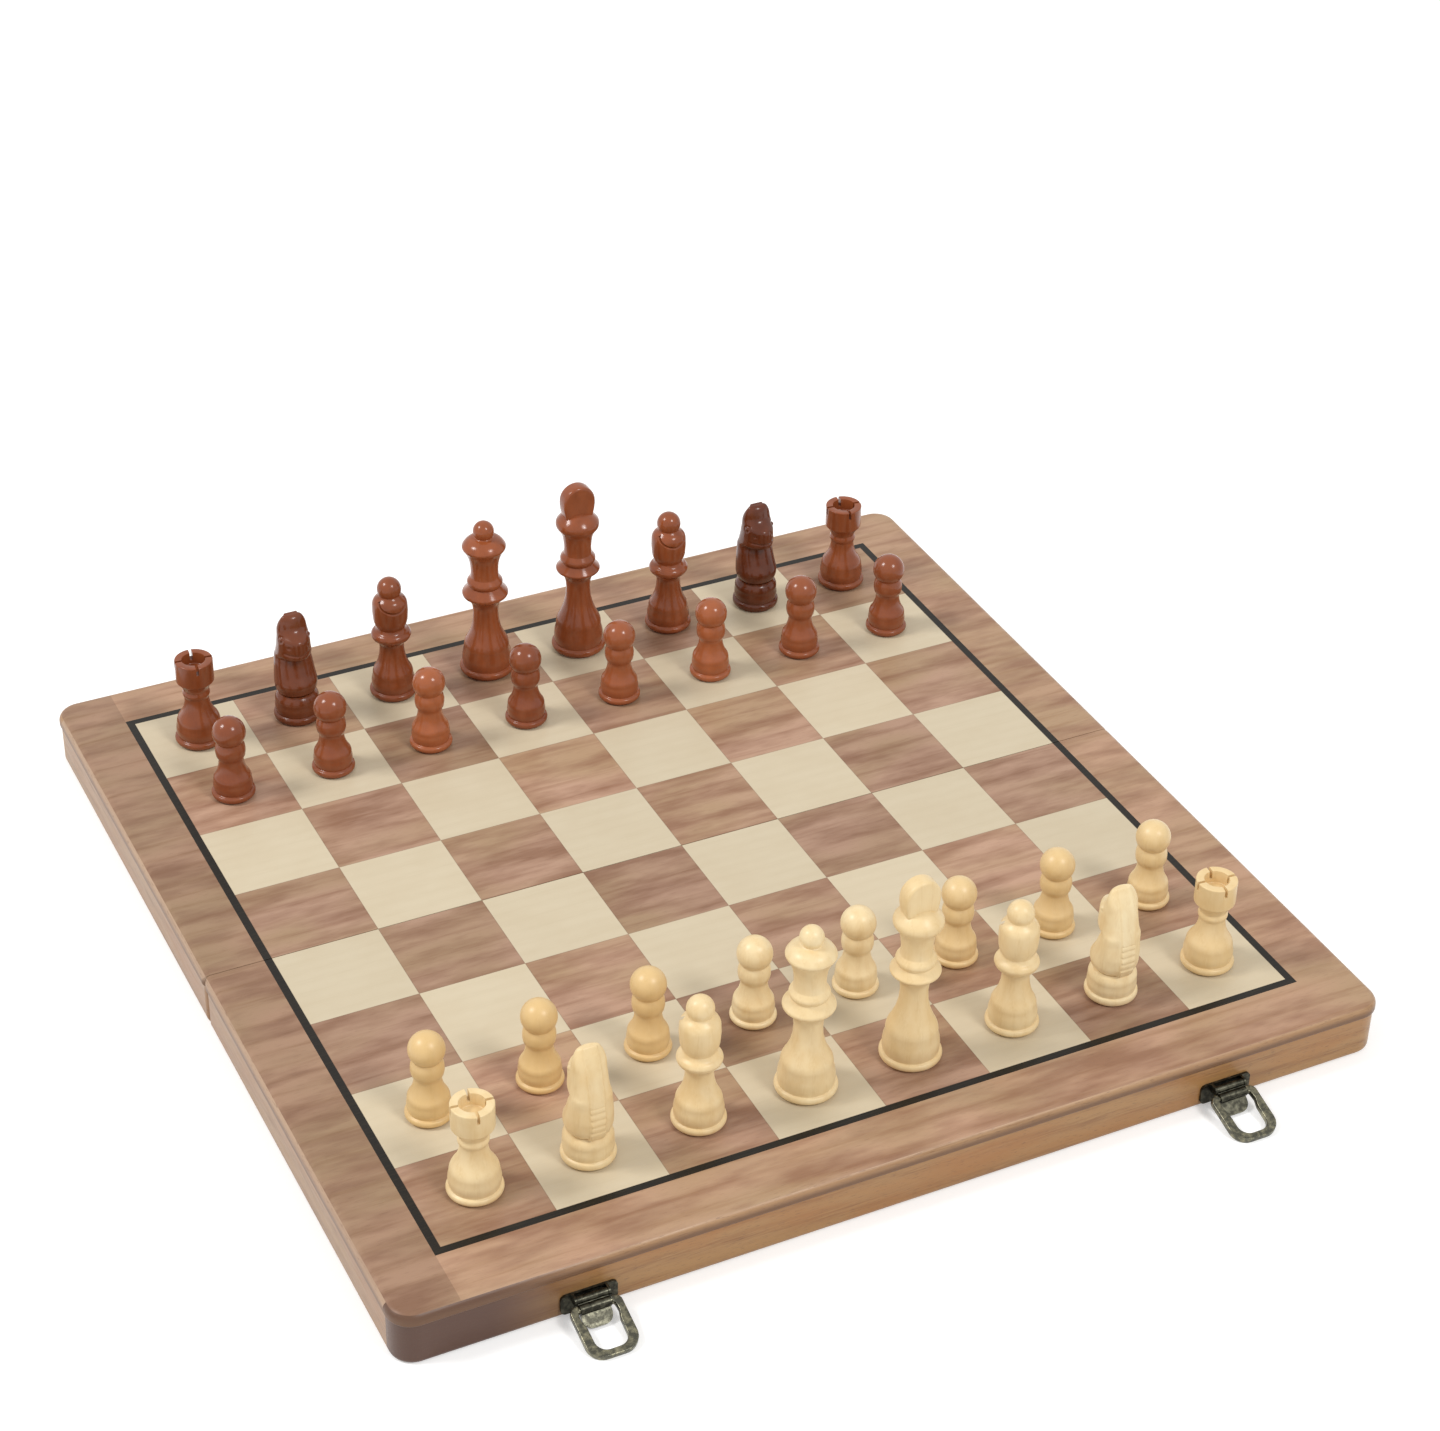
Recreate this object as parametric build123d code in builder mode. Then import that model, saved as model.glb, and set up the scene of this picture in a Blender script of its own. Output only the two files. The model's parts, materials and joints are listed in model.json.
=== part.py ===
from build123d import *
import os
from math import asin, atan2, cos, degrees, radians, sin, sqrt

os.makedirs("parts", exist_ok=True)

# Frame: millimetres, +Z up, +X from file a to file h, +Y from the white men to the black men.
# The origin is on the fold line, in the plane of the rails' undersides.

# Board, open and flat
SQUARE = 41.0
INLAY = 3.0
BORDER = 23.0
FIELD = 8 * SQUARE
WIDTH = FIELD + 2 * INLAY + 2 * BORDER
REACH = WIDTH / 2
SEAM = 0.15
HEIGHT = 22.0
PANEL = 5.0
VENEER = 0.6
STEEL = 0.5
CORNER = 9.0
FOLD_CORNER = 2.5
TOP_ROUND = 3.0
UNDER_ROUND = 0.8

# Rails, tray and felt under each panel
RAIL_STEP = 0.7
RAIL = 10.0
RAIL_ROUND = 2.0
LINING = 0.8
LINING_RECESS = 1.0

# Hinges at the fold
HINGE_X = 115.0
HINGE_LENGTH = 25.0
HINGE_Z = -0.1
KNUCKLES = 5
KNUCKLE_R = 1.35
KNUCKLE_GAP = 0.1
PIN_R = 0.7
PIN_HEAD_R = 1.1
PIN_HEAD = 0.6
RUNNING = 0.05
LEAF = 0.8
LEAF_HEIGHT = 9.0
SCREW_SPACING = 8.0
SCREW_Z = 5.2
SCREW_HEAD_R = 1.7
SCREW_R = 0.8
SCREW_LENGTH = 8.0

# Latches on the near edge and catches on the far edge
LATCH_X = 123.0
PLATE = 0.9
PLATE_HALF = 10.2
PLATE_LOW = 1.6
PLATE_HIGH = 9.8
EAR_INSIDE = 5.6
EAR = 0.8
EAR_R = 1.6
PIVOT_OUT = 2.8
PIVOT_UP = 8.2
THROW = 3.2
LEVER_REST = -40.0
LEVER_TURN = 137.0
LEVER_HALF = 5.4
LEVER_LENGTH = 10.0
LEVER_SHEET = 0.8
LEVER_DROP = 1.2
PIVOT_TUBE_R = 1.4
LOOP_TUBE_R = 1.75
WIRE_R = 1.2
LOOP_LENGTH = 18.1
LOOP_HALF = 8.0
LOOP_BEND = 4.6
LOOP_END = 3.2
HOOK_HALF = 3.8
HOOK_GAP = 0.25
HOOK_LIP = 1.4
CATCH_HIGH = 11.5
BRAD_R = 0.75
BRAD_HEAD_R = 1.3
BRAD_HEAD = 0.5
BRAD_LENGTH = 7.0

# Men: magnet and felt in the foot
FELT = 0.8
FELT_GAP = 0.1
FELT_MARGIN = 0.7
MAGNET_R = 5.0
MAGNET = 2.5
POCKET_GAP = 0.1

# Heights in the board
RAIL_TOP = HEIGHT - PANEL
CORE_TOP = HEIGHT - VENEER
FACE = REACH - RAIL_STEP
TRAY = FACE - RAIL
SIDES = {"back": 1, "front": -1}


def write(part, name):
    """Labels one finished piece and writes its file."""
    part.label = name
    export_step(part, f"parts/{name}.step")


def half_plan(side, inset, corner, fold_corner):
    """The plan of one half, drawn in from its outer edges, with round corners."""
    depth = REACH - inset - SEAM
    with BuildSketch() as plan:
        with Locations((0, side * (SEAM + depth / 2))):
            Rectangle(2 * (REACH - inset), depth)
        rows = plan.vertices().sort_by(lambda v: side * v.Y)
        fillet(rows[2:], corner)
        if fold_corner:
            fillet(plan.vertices().sort_by(lambda v: side * v.Y)[:2], fold_corner)
    return plan.sketch


def rounded_half(side, inset, corner, low, high, top_round, bottom_round):
    """A block with one half's plan: its outer edges are rounded, its edges at the fold are sharp."""
    with BuildPart() as block:
        with BuildSketch(Plane.XY.offset(low)):
            add(half_plan(side, inset, corner, 0))
        extrude(amount=high - low)
        for level, radius in ((-1, top_round), (0, bottom_round)):
            if radius:
                rim = block.faces().filter_by(Axis.Z).sort_by(Axis.Z)[level].edges()
                fillet(rim.filter_by(lambda e: side * e.center().Y > 2 * SEAM), radius)
        with BuildSketch(Plane.XY.offset(low)):
            add(half_plan(side, inset, corner, FOLD_CORNER))
        extrude(amount=high - low, mode=Mode.INTERSECT)
    return block.part


def box_between(x0, x1, y0, y1, z0, z1, mode=Mode.ADD):
    """A box given by its limits, in any order on Y."""
    with Locations(((x0 + x1) / 2, (y0 + y1) / 2, (z0 + z1) / 2)):
        return Box(abs(x1 - x0), abs(y1 - y0), abs(z1 - z0), mode=mode)


def face_plane(side, x):
    """Upright plane square to the rail's face at x: local x points outwards, local y up."""
    return Plane(origin=(x, side * FACE, 0), x_dir=(0, side, 0), z_dir=(side, 0, 0))


def screw_places():
    """The places of the hinge screws along the fold."""
    return [x + d for x in (-HINGE_X, HINGE_X) for d in (-SCREW_SPACING, 0, SCREW_SPACING)]


def brad_places(side):
    """The places of the brads on a rail's face: x and height."""
    across, up = (3.0, 4.0) if side < 0 else (6.8, 9.8)
    return [(x + d, up) for x in (-LATCH_X, LATCH_X) for d in (-across, across)]


def knuckle_span(number):
    """The two ends of one knuckle, measured along the hinge from its middle."""
    pitch = HINGE_LENGTH / KNUCKLES
    start = -HINGE_LENGTH / 2 + number * pitch
    return start + KNUCKLE_GAP / 2, start + pitch - KNUCKLE_GAP / 2


def build_panel(side, word):
    """Core board with a pocket for the steel sheet, and the border veneer on top of it."""
    whole = rounded_half(side, 0, CORNER, RAIL_TOP, HEIGHT, TOP_ROUND, UNDER_ROUND)
    inner = FIELD / 2 + INLAY
    steel_edge = FIELD / 2 - 1
    with BuildPart() as core:
        add(whole)
        box_between(-REACH, REACH, 0, side * REACH, CORE_TOP, HEIGHT, Mode.SUBTRACT)
        box_between(-steel_edge, steel_edge, side * 2, side * steel_edge,
                    CORE_TOP - STEEL, CORE_TOP, Mode.SUBTRACT)
    write(core.part, f"{word}_panel_core")
    with BuildPart() as steel:
        box_between(-steel_edge, steel_edge, side * 2, side * steel_edge,
                    CORE_TOP - STEEL, CORE_TOP)
    write(steel.part, f"{word}_steel_sheet")
    with BuildPart() as border:
        add(whole)
        box_between(-REACH, REACH, 0, side * REACH, RAIL_TOP, CORE_TOP, Mode.SUBTRACT)
        box_between(-inner, inner, 0, side * inner, CORE_TOP, HEIGHT, Mode.SUBTRACT)
    write(border.part, f"{word}_border_veneer")
    with BuildPart() as line:
        box_between(-inner, inner, side * SEAM, side * inner, CORE_TOP, HEIGHT)
        box_between(-FIELD / 2, FIELD / 2, 0, side * FIELD / 2, CORE_TOP, HEIGHT, Mode.SUBTRACT)
    write(line.part, f"{word}_inlay_line")


def build_squares(side, word):
    """One leaf of veneer per square, the near-left corner of the field being dark."""
    ranks = range(4, 8) if side > 0 else range(4)
    for wood, remainder in (("walnut", 0), ("maple", 1)):
        leaves = []
        for file in range(8):
            for rank in ranks:
                if (file + rank) % 2 == remainder:
                    x = (file - 4) * SQUARE
                    y = (rank - 4) * SQUARE
                    near = max(y, SEAM) if side > 0 else y
                    far = y + SQUARE if side > 0 else min(y + SQUARE, -SEAM)
                    with BuildPart() as leaf:
                        box_between(x, x + SQUARE, near, far, CORE_TOP, HEIGHT)
                    leaves.append(leaf.part.solid())
        write(Compound(children=leaves), f"{word}_{wood}_squares")


def build_rails(side, word):
    """Four rails: the outer one with the round corners, two side ones, and the one at the fold."""
    inner_fold = SEAM + RAIL
    with BuildPart() as ring:
        add(rounded_half(side, RAIL_STEP, CORNER - RAIL_STEP, 0, RAIL_TOP, 0, RAIL_ROUND))
        box_between(-TRAY, TRAY, side * inner_fold, side * TRAY, 0, RAIL_TOP, Mode.SUBTRACT)
        for x in (-HINGE_X, HINGE_X):
            half = HINGE_LENGTH / 2 + 0.1
            box_between(x - half, x + half, 0, side * (SEAM + LEAF), 0, LEAF_HEIGHT + 0.1,
                        Mode.SUBTRACT)
            box_between(x - half - 1, x + half + 1, 0, side * (KNUCKLE_R + 0.3),
                        0, KNUCKLE_R + 0.3, Mode.SUBTRACT)
        for x in screw_places():
            with BuildSketch(Plane(origin=(x, 0, SCREW_Z), x_dir=(1, 0, 0), z_dir=(0, side, 0))):
                Circle(SCREW_R + 0.2)
            extrude(amount=SCREW_LENGTH + SEAM + 0.5, mode=Mode.SUBTRACT)
        for x, z in brad_places(side):
            with BuildSketch(Plane(origin=(x, side * FACE, z), x_dir=(1, 0, 0),
                                   z_dir=(0, -side, 0))):
                Circle(BRAD_R + 0.1)
            extrude(amount=BRAD_LENGTH, mode=Mode.SUBTRACT)
    regions = [
        (-REACH, REACH, side * TRAY, side * REACH),
        (-REACH, -TRAY, 0, side * TRAY),
        (TRAY, REACH, 0, side * TRAY),
        (-TRAY, TRAY, 0, side * inner_fold),
    ]
    rails = []
    for x0, x1, y0, y1 in regions:
        with BuildPart() as rail:
            add(ring.part)
            box_between(x0, x1, y0, y1, 0, RAIL_TOP, Mode.INTERSECT)
        rails.append(rail.part.solid())
    write(Compound(children=rails), f"{word}_rails")


def build_lining(side, word):
    """Felt on the tray's ceiling and walls, ending short of the rails' undersides."""
    fold = SEAM + RAIL
    with BuildPart() as felt:
        box_between(-TRAY, TRAY, side * fold, side * TRAY, LINING_RECESS, RAIL_TOP)
        box_between(-TRAY + LINING, TRAY - LINING, side * (fold + LINING),
                    side * (TRAY - LINING), LINING_RECESS, RAIL_TOP - LINING, Mode.SUBTRACT)
    write(felt.part, f"{word}_felt_lining")


def build_hinge_leaves(side, word):
    """Leaves let into the fold rail, each with its share of the knuckles round the pin."""
    own = range(0, KNUCKLES, 2) if side > 0 else range(1, KNUCKLES, 2)
    clear = KNUCKLE_R + 0.3
    leaves = []
    for x in (-HINGE_X, HINGE_X):
        with BuildPart() as leaf:
            box_between(x - HINGE_LENGTH / 2, x + HINGE_LENGTH / 2, side * SEAM,
                        side * (SEAM + LEAF), HINGE_Z, LEAF_HEIGHT)
            box_between(x - HINGE_LENGTH / 2, x + HINGE_LENGTH / 2, side * SEAM,
                        side * (SEAM + LEAF), HINGE_Z, HINGE_Z + clear, Mode.SUBTRACT)
            for number in own:
                start, end = knuckle_span(number)
                box_between(x + start, x + end, side * SEAM, side * (SEAM + LEAF),
                            HINGE_Z, HINGE_Z + clear)
                with BuildSketch(Plane(origin=(x + start, 0, HINGE_Z), x_dir=(0, 1, 0),
                                       z_dir=(1, 0, 0))):
                    Circle(KNUCKLE_R)
                extrude(amount=end - start)
            with BuildSketch(Plane(origin=(x - HINGE_LENGTH / 2, 0, HINGE_Z), x_dir=(0, 1, 0),
                                   z_dir=(1, 0, 0))):
                Circle(PIN_R + RUNNING)
            extrude(amount=HINGE_LENGTH, mode=Mode.SUBTRACT)
            for d in (-SCREW_SPACING, 0, SCREW_SPACING):
                with BuildSketch(Plane(origin=(x + d, side * SEAM, SCREW_Z), x_dir=(1, 0, 0),
                                       z_dir=(0, side, 0))):
                    Circle(SCREW_HEAD_R + 0.1)
                extrude(amount=LEAF, taper=45, mode=Mode.SUBTRACT)
        leaves.append(leaf.part.solid())
    write(Compound(children=leaves), f"hinge_leaves_{word}")


def build_hinge_pins():
    """Pins with small flat heads outside the last knuckles."""
    pins = []
    for x in (-HINGE_X, HINGE_X):
        start = Plane(origin=(x - HINGE_LENGTH / 2, 0, HINGE_Z), x_dir=(0, 1, 0), z_dir=(1, 0, 0))
        with BuildPart() as pin:
            with BuildSketch(start):
                Circle(PIN_R)
            extrude(amount=HINGE_LENGTH)
            for offset in (-PIN_HEAD, HINGE_LENGTH):
                with BuildSketch(start.offset(offset)):
                    Circle(PIN_HEAD_R)
                extrude(amount=PIN_HEAD)
        pins.append(pin.part.solid())
    write(Compound(children=pins), "hinge_pins")


def screw(x, side):
    """Countersunk wood screw, its slotted head flush with the leaf."""
    plane = Plane(origin=(x, side * (SEAM + 0.05), SCREW_Z), x_dir=(1, 0, 0), z_dir=(0, 0, side))
    with BuildPart() as body:
        with BuildSketch(plane):
            with BuildLine():
                Polyline((0, 0), (SCREW_HEAD_R, 0), (SCREW_R, SCREW_HEAD_R - SCREW_R),
                         (SCREW_R, SCREW_LENGTH - 2), (0, SCREW_LENGTH), close=True)
            make_face()
        revolve(axis=Axis(plane.origin, (0, 1, 0)))
        box_between(x - 2, x + 2, side * SEAM, side * (SEAM + 0.35), SCREW_Z - 0.2,
                    SCREW_Z + 0.2, Mode.SUBTRACT)
    return body.part.solid()


def brad(x, z, side):
    """Brad with a low domed head on a latch or catch plate."""
    plane = Plane(origin=(x, side * (FACE + PLATE), z), x_dir=(1, 0, 0), z_dir=(0, 0, side))
    with BuildPart() as body:
        with BuildSketch(plane):
            with BuildLine():
                Polyline((0, -BRAD_LENGTH), (BRAD_R, 1 - BRAD_LENGTH), (BRAD_R, 0), (BRAD_HEAD_R, 0))
                dome((BRAD_HEAD_R, 0), BRAD_HEAD)
                Line((0, BRAD_HEAD), (0, -BRAD_LENGTH))
            make_face()
        revolve(axis=Axis(plane.origin, (0, 1, 0)))
    return body.part.solid()


def build_fasteners(side, word):
    """The hinge screws and the brads of one half."""
    pieces = [screw(x, side) for x in screw_places()]
    pieces += [brad(x, z, side) for x, z in brad_places(side)]
    write(Compound(children=pieces), f"{word}_screws")


def plate_blank(side, x, low, high):
    """Flat plate on the rail's face with round corners and its brad holes."""
    middle = (low + high) / 2
    with BuildPart() as plate:
        with BuildSketch(Plane(origin=(x, side * FACE, middle), x_dir=(1, 0, 0),
                               z_dir=(0, side, 0))):
            RectangleRounded(2 * PLATE_HALF, high - low, 2.0)
        extrude(amount=PLATE)
        for place, z in brad_places(side):
            if abs(place - x) < PLATE_HALF:
                with BuildSketch(Plane(origin=(place, side * FACE, z), x_dir=(1, 0, 0),
                                       z_dir=(0, side, 0))):
                    Circle(BRAD_R + 0.1)
                extrude(amount=PLATE, mode=Mode.SUBTRACT)
    return plate.part


def build_latch_plates():
    """Base plates with two ears that carry the lever's pin."""
    plates = []
    for x in (-LATCH_X, LATCH_X):
        with BuildPart() as plate:
            add(plate_blank(-1, x, PLATE_LOW, PLATE_HIGH))
            for start in (EAR_INSIDE, -EAR_INSIDE - EAR):
                with BuildSketch(face_plane(-1, x).offset(start)):
                    with Locations((PIVOT_OUT, PIVOT_UP)):
                        Circle(EAR_R)
                    with Locations((PIVOT_OUT / 2, PIVOT_UP)):
                        Rectangle(PIVOT_OUT, 2 * EAR_R)
                extrude(amount=EAR)
            with BuildSketch(face_plane(-1, x)):
                with Locations((PIVOT_OUT, PIVOT_UP)):
                    Circle(PIN_R + RUNNING)
            extrude(amount=PLATE_HALF, both=True, mode=Mode.SUBTRACT)
        plates.append(plate.part.solid())
    write(Compound(children=plates), "latch_plates")
    pins = []
    for x in (-LATCH_X, LATCH_X):
        with BuildPart() as pin:
            with BuildSketch(face_plane(-1, x)):
                with Locations((PIVOT_OUT, PIVOT_UP)):
                    Circle(PIN_R)
            extrude(amount=EAR_INSIDE + EAR, both=True)
        pins.append(pin.part.solid())
    write(Compound(children=pins), "latch_pivot_pins")


def lever_point(along, drop=0.0):
    """A point on the resting lever: outwards and up, from its pivot along it and off its lower side."""
    turn = radians(LEVER_REST)
    out = PIVOT_OUT + along * cos(turn) + drop * sin(turn)
    up = PIVOT_UP + along * sin(turn) - drop * cos(turn)
    return out, up


def build_lever(x, word):
    """Sheet lever with a tube round its own pin and a tube for the loop's ends, and a round tip."""
    tip_radius = 3.5
    with BuildPart() as lever:
        with BuildSketch(face_plane(-1, x)):
            with Locations(lever_point(0)):
                Circle(PIVOT_TUBE_R)
            with Locations(lever_point(THROW)):
                Circle(LOOP_TUBE_R)
            with Locations(Location((*lever_point(LEVER_LENGTH / 2, LEVER_DROP), 0), LEVER_REST)):
                Rectangle(LEVER_LENGTH, LEVER_SHEET)
            with Locations(Location((*lever_point(THROW / 2, 0.5), 0), LEVER_REST)):
                Rectangle(THROW, 1.6)
        extrude(amount=LEVER_HALF, both=True)
        with BuildSketch(face_plane(-1, x)):
            with Locations(lever_point(0)):
                Circle(PIN_R + RUNNING)
            with Locations(lever_point(THROW)):
                Circle(WIRE_R + RUNNING)
        extrude(amount=LEVER_HALF, both=True, mode=Mode.SUBTRACT)
        tips = lever.edges().filter_by(lambda e: e.length < LEVER_SHEET * 1.05)
        tips = tips.filter_by(GeomType.LINE).sort_by(Axis.Y)[:2]
        fillet(tips, tip_radius)
    write(lever.part, f"latch_lever_{word}")


def loop_angle():
    """How far the resting loop slopes down to its tip, which lies on the table."""
    drop = lever_point(THROW)[1] - WIRE_R - 0.1
    return degrees(asin(drop / LOOP_LENGTH))


def build_loop(x, word):
    """One wire bent to a long U, its two ends turned in to sit in the lever's tube."""
    out, up = lever_point(THROW)
    slope = radians(loop_angle())
    plane = Plane(origin=(x, -FACE - out, up), x_dir=(1, 0, 0),
                  z_dir=(0, sin(slope), -cos(slope)))
    length = -LOOP_LENGTH if plane.y_dir.Y > 0 else LOOP_LENGTH
    with BuildPart() as loop:
        with BuildLine(plane) as path:
            FilletPolyline((-LOOP_END, 0), (-LOOP_HALF, 0), (-LOOP_HALF, length),
                           (LOOP_HALF, length), (LOOP_HALF, 0), (LOOP_END, 0),
                           radius=[1.5, LOOP_BEND, LOOP_BEND, 1.5])
        with BuildSketch(Plane(origin=path.line @ 0, z_dir=path.line % 0)):
            Circle(WIRE_R)
        sweep()
    write(loop.part, f"latch_loop_{word}")


def catch_place():
    """Where the loop's end lies in the closed catch: outwards and up on the far rail."""
    turn = radians(LEVER_REST + LEVER_TURN)
    out = PIVOT_OUT + THROW * cos(turn)
    up = PIVOT_UP + THROW * sin(turn)
    seat = 2.6
    return seat, 2 * HINGE_Z - (up - sqrt(LOOP_LENGTH ** 2 - (seat - out) ** 2))


def build_catch_plates():
    """Plates on the far edge, each with a hook that opens away from the closing face."""
    out, up = catch_place()
    inside = WIRE_R + HOOK_GAP
    outside = inside + PLATE
    plates = []
    for x in (-LATCH_X, LATCH_X):
        with BuildPart() as plate:
            add(plate_blank(1, x, PLATE_LOW, CATCH_HIGH))
            with BuildSketch(face_plane(1, x)):
                with Locations((out, up)):
                    Circle(outside)
                    Circle(inside, mode=Mode.SUBTRACT)
                with Locations((out, up + outside / 2)):
                    Rectangle(3 * outside, outside, mode=Mode.SUBTRACT)
                with Locations((out + (inside + outside) / 2, up + HOOK_LIP / 2)):
                    Rectangle(PLATE, HOOK_LIP)
                with Locations((0, up)):
                    Rectangle(PLATE * 2, 3 * outside, align=(Align.MAX, Align.CENTER),
                              mode=Mode.SUBTRACT)
            extrude(amount=HOOK_HALF, both=True)
        plates.append(plate.part.solid())
    write(Compound(children=plates), "catch_plates")


# Men: half outlines from the foot up. Each step is a radius, a height above the board,
# and how far the edge that leads there bulges outwards. A dome ends on the axis, square to it.
DOME = "dome"
FOOT = 0.8
KING = [
    (10.7, FOOT, 0), (10.7, 3.2, 0.5), (10.1, 4.2, -0.2), (8.9, 13.5, 0.6), (4.9, 29.5, -0.7),
    (5.2, 32.5, 0), (8.7, 37.8, -0.7), (8.8, 39.0, 0.25), (6.4, 41.3, 0), (6.9, 42.0, 0),
    (6.9, 44.2, 0.35), (5.7, 45.6, 0), (5.9, 52.0, -0.25), (8.4, 57.8, -0.5), (8.4, 61.2, 0.5),
    (5.9, 63.6, 0), (6.8, 68.0, 0.1), (6.8, 70.4, 0), (0, 77.0, DOME),
]
FINIAL_THICK = 6.2
QUEEN = [
    (10.7, FOOT, 0), (10.7, 3.2, 0.5), (10.1, 4.2, -0.2), (8.9, 13.5, 0.6), (5.1, 28.0, -0.7),
    (5.3, 30.5, 0), (9.0, 36.3, -0.8), (9.1, 38.0, 0.3), (6.4, 40.6, 0), (6.9, 41.3, 0),
    (6.9, 43.4, 0.35), (5.8, 44.8, 0), (5.7, 49.5, -0.15), (8.5, 57.8, -0.6), (8.6, 59.6, 0.35),
    (4.0, 62.8, 0.7), (3.5, 63.2, 0), (0, 70.0, DOME),
]
BISHOP = [
    (9.25, FOOT, 0), (9.25, 3.0, 0.45), (8.7, 3.9, -0.2), (8.0, 10.5, 0.6), (4.9, 22.0, -0.5),
    (5.1, 24.0, 0), (7.1, 26.6, -0.3), (7.8, 27.5, 0.2), (7.8, 29.1, 0.25), (6.6, 30.2, 0.15),
    (5.6, 31.8, -0.15), (7.0, 36.5, 0.35), (7.1, 42.3, 0.15), (5.1, 45.7, 0.5), (4.2, 46.6, 0),
    (0, 54.0, DOME),
]
ROOK = [
    (9.35, FOOT, 0), (9.35, 3.0, 0.45), (8.8, 3.9, -0.2), (8.4, 10.0, 0.6), (4.8, 21.0, -0.7),
    (5.2, 21.8, 0), (5.2, 23.6, 0.2), (4.9, 24.3, 0), (7.5, 28.6, -0.3), (7.5, 37.4, 0),
    (7.1, 37.9, 0.15), (4.6, 37.9, 0), (4.4, 33.0, 0), (0, 33.0, 0),
]
ROOK_SLOT = 1.1
PAWN = [
    (8.1, FOOT, 0), (8.1, 2.9, 0.4), (7.5, 3.7, -0.2), (7.1, 9.0, 0.5), (4.8, 16.8, -0.35),
    (5.6, 18.8, -0.15), (5.6, 23.4, 0.3), (4.9, 24.8, 0), (0, 35.5, DOME),
]

# Knight: a turned foot, and a head cut from a round blank in side view and in front view
COLLAR = 12.8
KNIGHT_FOOT = [
    (9.3, FOOT, 0), (9.3, 3.2, 0.35), (8.8, 4.0, -0.15), (8.7, 8.0, 0.25), (7.4, 12.2, 0.6),
    (7.4, COLLAR, 0), (0, COLLAR, 0),
]
KNIGHT_BLANK = [
    (7.4, COLLAR, 0), (8.9, 16.5, 0.4), (9.1, 24.0, 0.1), (9.1, 40.0, 0), (0, 50.0, DOME),
]
KNIGHT_SIDE = [
    (8.6, 18.0, 0.3), (3.6, 28.6, -0.6), (3.9, 29.8, 0), (7.8, 30.2, 0), (8.7, 31.4, 0.2),
    (8.4, 38.4, 0.1), (7.4, 39.4, 0.2), (2.4, 41.0, -0.2), (1.9, 46.6, 0), (-1.0, 48.2, 0.5),
    (-5.8, 38.0, 0.5), (-8.9, 20.0, 0.45), (-8.6, 16.0, 0), (-7.4, COLLAR, 0.1), (7.4, COLLAR, 0),
]
KNIGHT_FRONT = [
    (7.4, COLLAR, 0), (8.6, 17.5, 0.4), (6.7, 34.0, 0.1), (6.2, 41.0, 0.1), (4.6, 46.6, 0.4),
    (2.6, 48.6, 0.2), (0, 48.8, 0),
]
CHEEK_HALF = 7.3
CHEEK_Z = 24.0
CHEEK_CLOSING = 0.18
CHEEK_LEAN = 0.08
MANE_HALF = 2.75
MANE = 0.5
LOCKS = 4
LOCK_R = 0.8
LOCK_OUT = -9.75
LOCK_LOW = 17.5
LOCK_PITCH = 2.6


def dome(here, top):
    """An arc up to the axis, from a circle whose centre is on the axis."""
    radius, height = here
    centre = (top ** 2 - radius ** 2 - height ** 2) / (2 * (top - height))
    middle = (atan2(height - centre, radius) + radians(90)) / 2
    through = ((top - centre) * cos(middle), centre + (top - centre) * sin(middle))
    ThreePointArc(here, through, (0, top))


def outline(start, steps):
    """Draws an outline from a point through the steps, and back to the point."""
    here = start
    for radius, height, bulge in steps:
        there = (radius, height)
        if bulge == DOME:
            dome(here, height)
        elif bulge:
            SagittaArc(here, there, -bulge)
        else:
            Line(here, there)
        here = there
    if here != start:
        Line(here, start)


def man_plane(x, y, turn=0):
    """Upright plane through a man's axis, standing on the playing surface."""
    return Plane(origin=(x, y, HEIGHT), x_dir=(cos(radians(turn)), sin(radians(turn)), 0),
                 z_dir=(sin(radians(turn)), -cos(radians(turn)), 0))


def turned(steps, x, y):
    """Spins a half outline round a man's axis."""
    with BuildPart() as body:
        with BuildSketch(man_plane(x, y)):
            with BuildLine():
                outline((0, steps[0][1]), steps)
            make_face()
        revolve(axis=Axis((x, y, HEIGHT), (0, 0, 1)))
    return body.part


def king(x, y, toward):
    """Turned king: his round finial is sawn flat on two sides."""
    with BuildPart() as body:
        add(turned(KING, x, y))
        for side in (-1, 1):
            box_between(x - 9, x + 9, y + side * FINIAL_THICK / 2, y + side * 9,
                        HEIGHT + 64.0, HEIGHT + 80, Mode.SUBTRACT)
    return body.part


def queen(x, y, toward):
    """Turned queen with a ball on her coronet."""
    return turned(QUEEN, x, y)


def bishop(x, y, toward):
    """Turned bishop with a slanting saw cut in the mitre."""
    with BuildPart() as body:
        add(turned(BISHOP, x, y))
        with BuildSketch(Plane(origin=(x, y + toward * 5.5, HEIGHT + 42.0), x_dir=(1, 0, 0),
                               z_dir=(0, toward * sin(radians(40)), cos(radians(40))))):
            Rectangle(16, 7)
        extrude(amount=0.5, both=True, mode=Mode.SUBTRACT)
    return body.part


def rook(x, y, toward):
    """Turned rook with a hollow turret and four saw slots in its wall."""
    with BuildPart() as body:
        add(turned(ROOK, x, y))
        for turn in (84, 174):
            with BuildSketch(man_plane(x, y, turn)):
                with Locations((0, 36.5)):
                    Rectangle(ROOK_SLOT, 4.0)
            extrude(amount=12, both=True, mode=Mode.SUBTRACT)
    return body.part


def pawn(x, y, toward):
    """Turned pawn."""
    return turned(PAWN, x, y)


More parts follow.
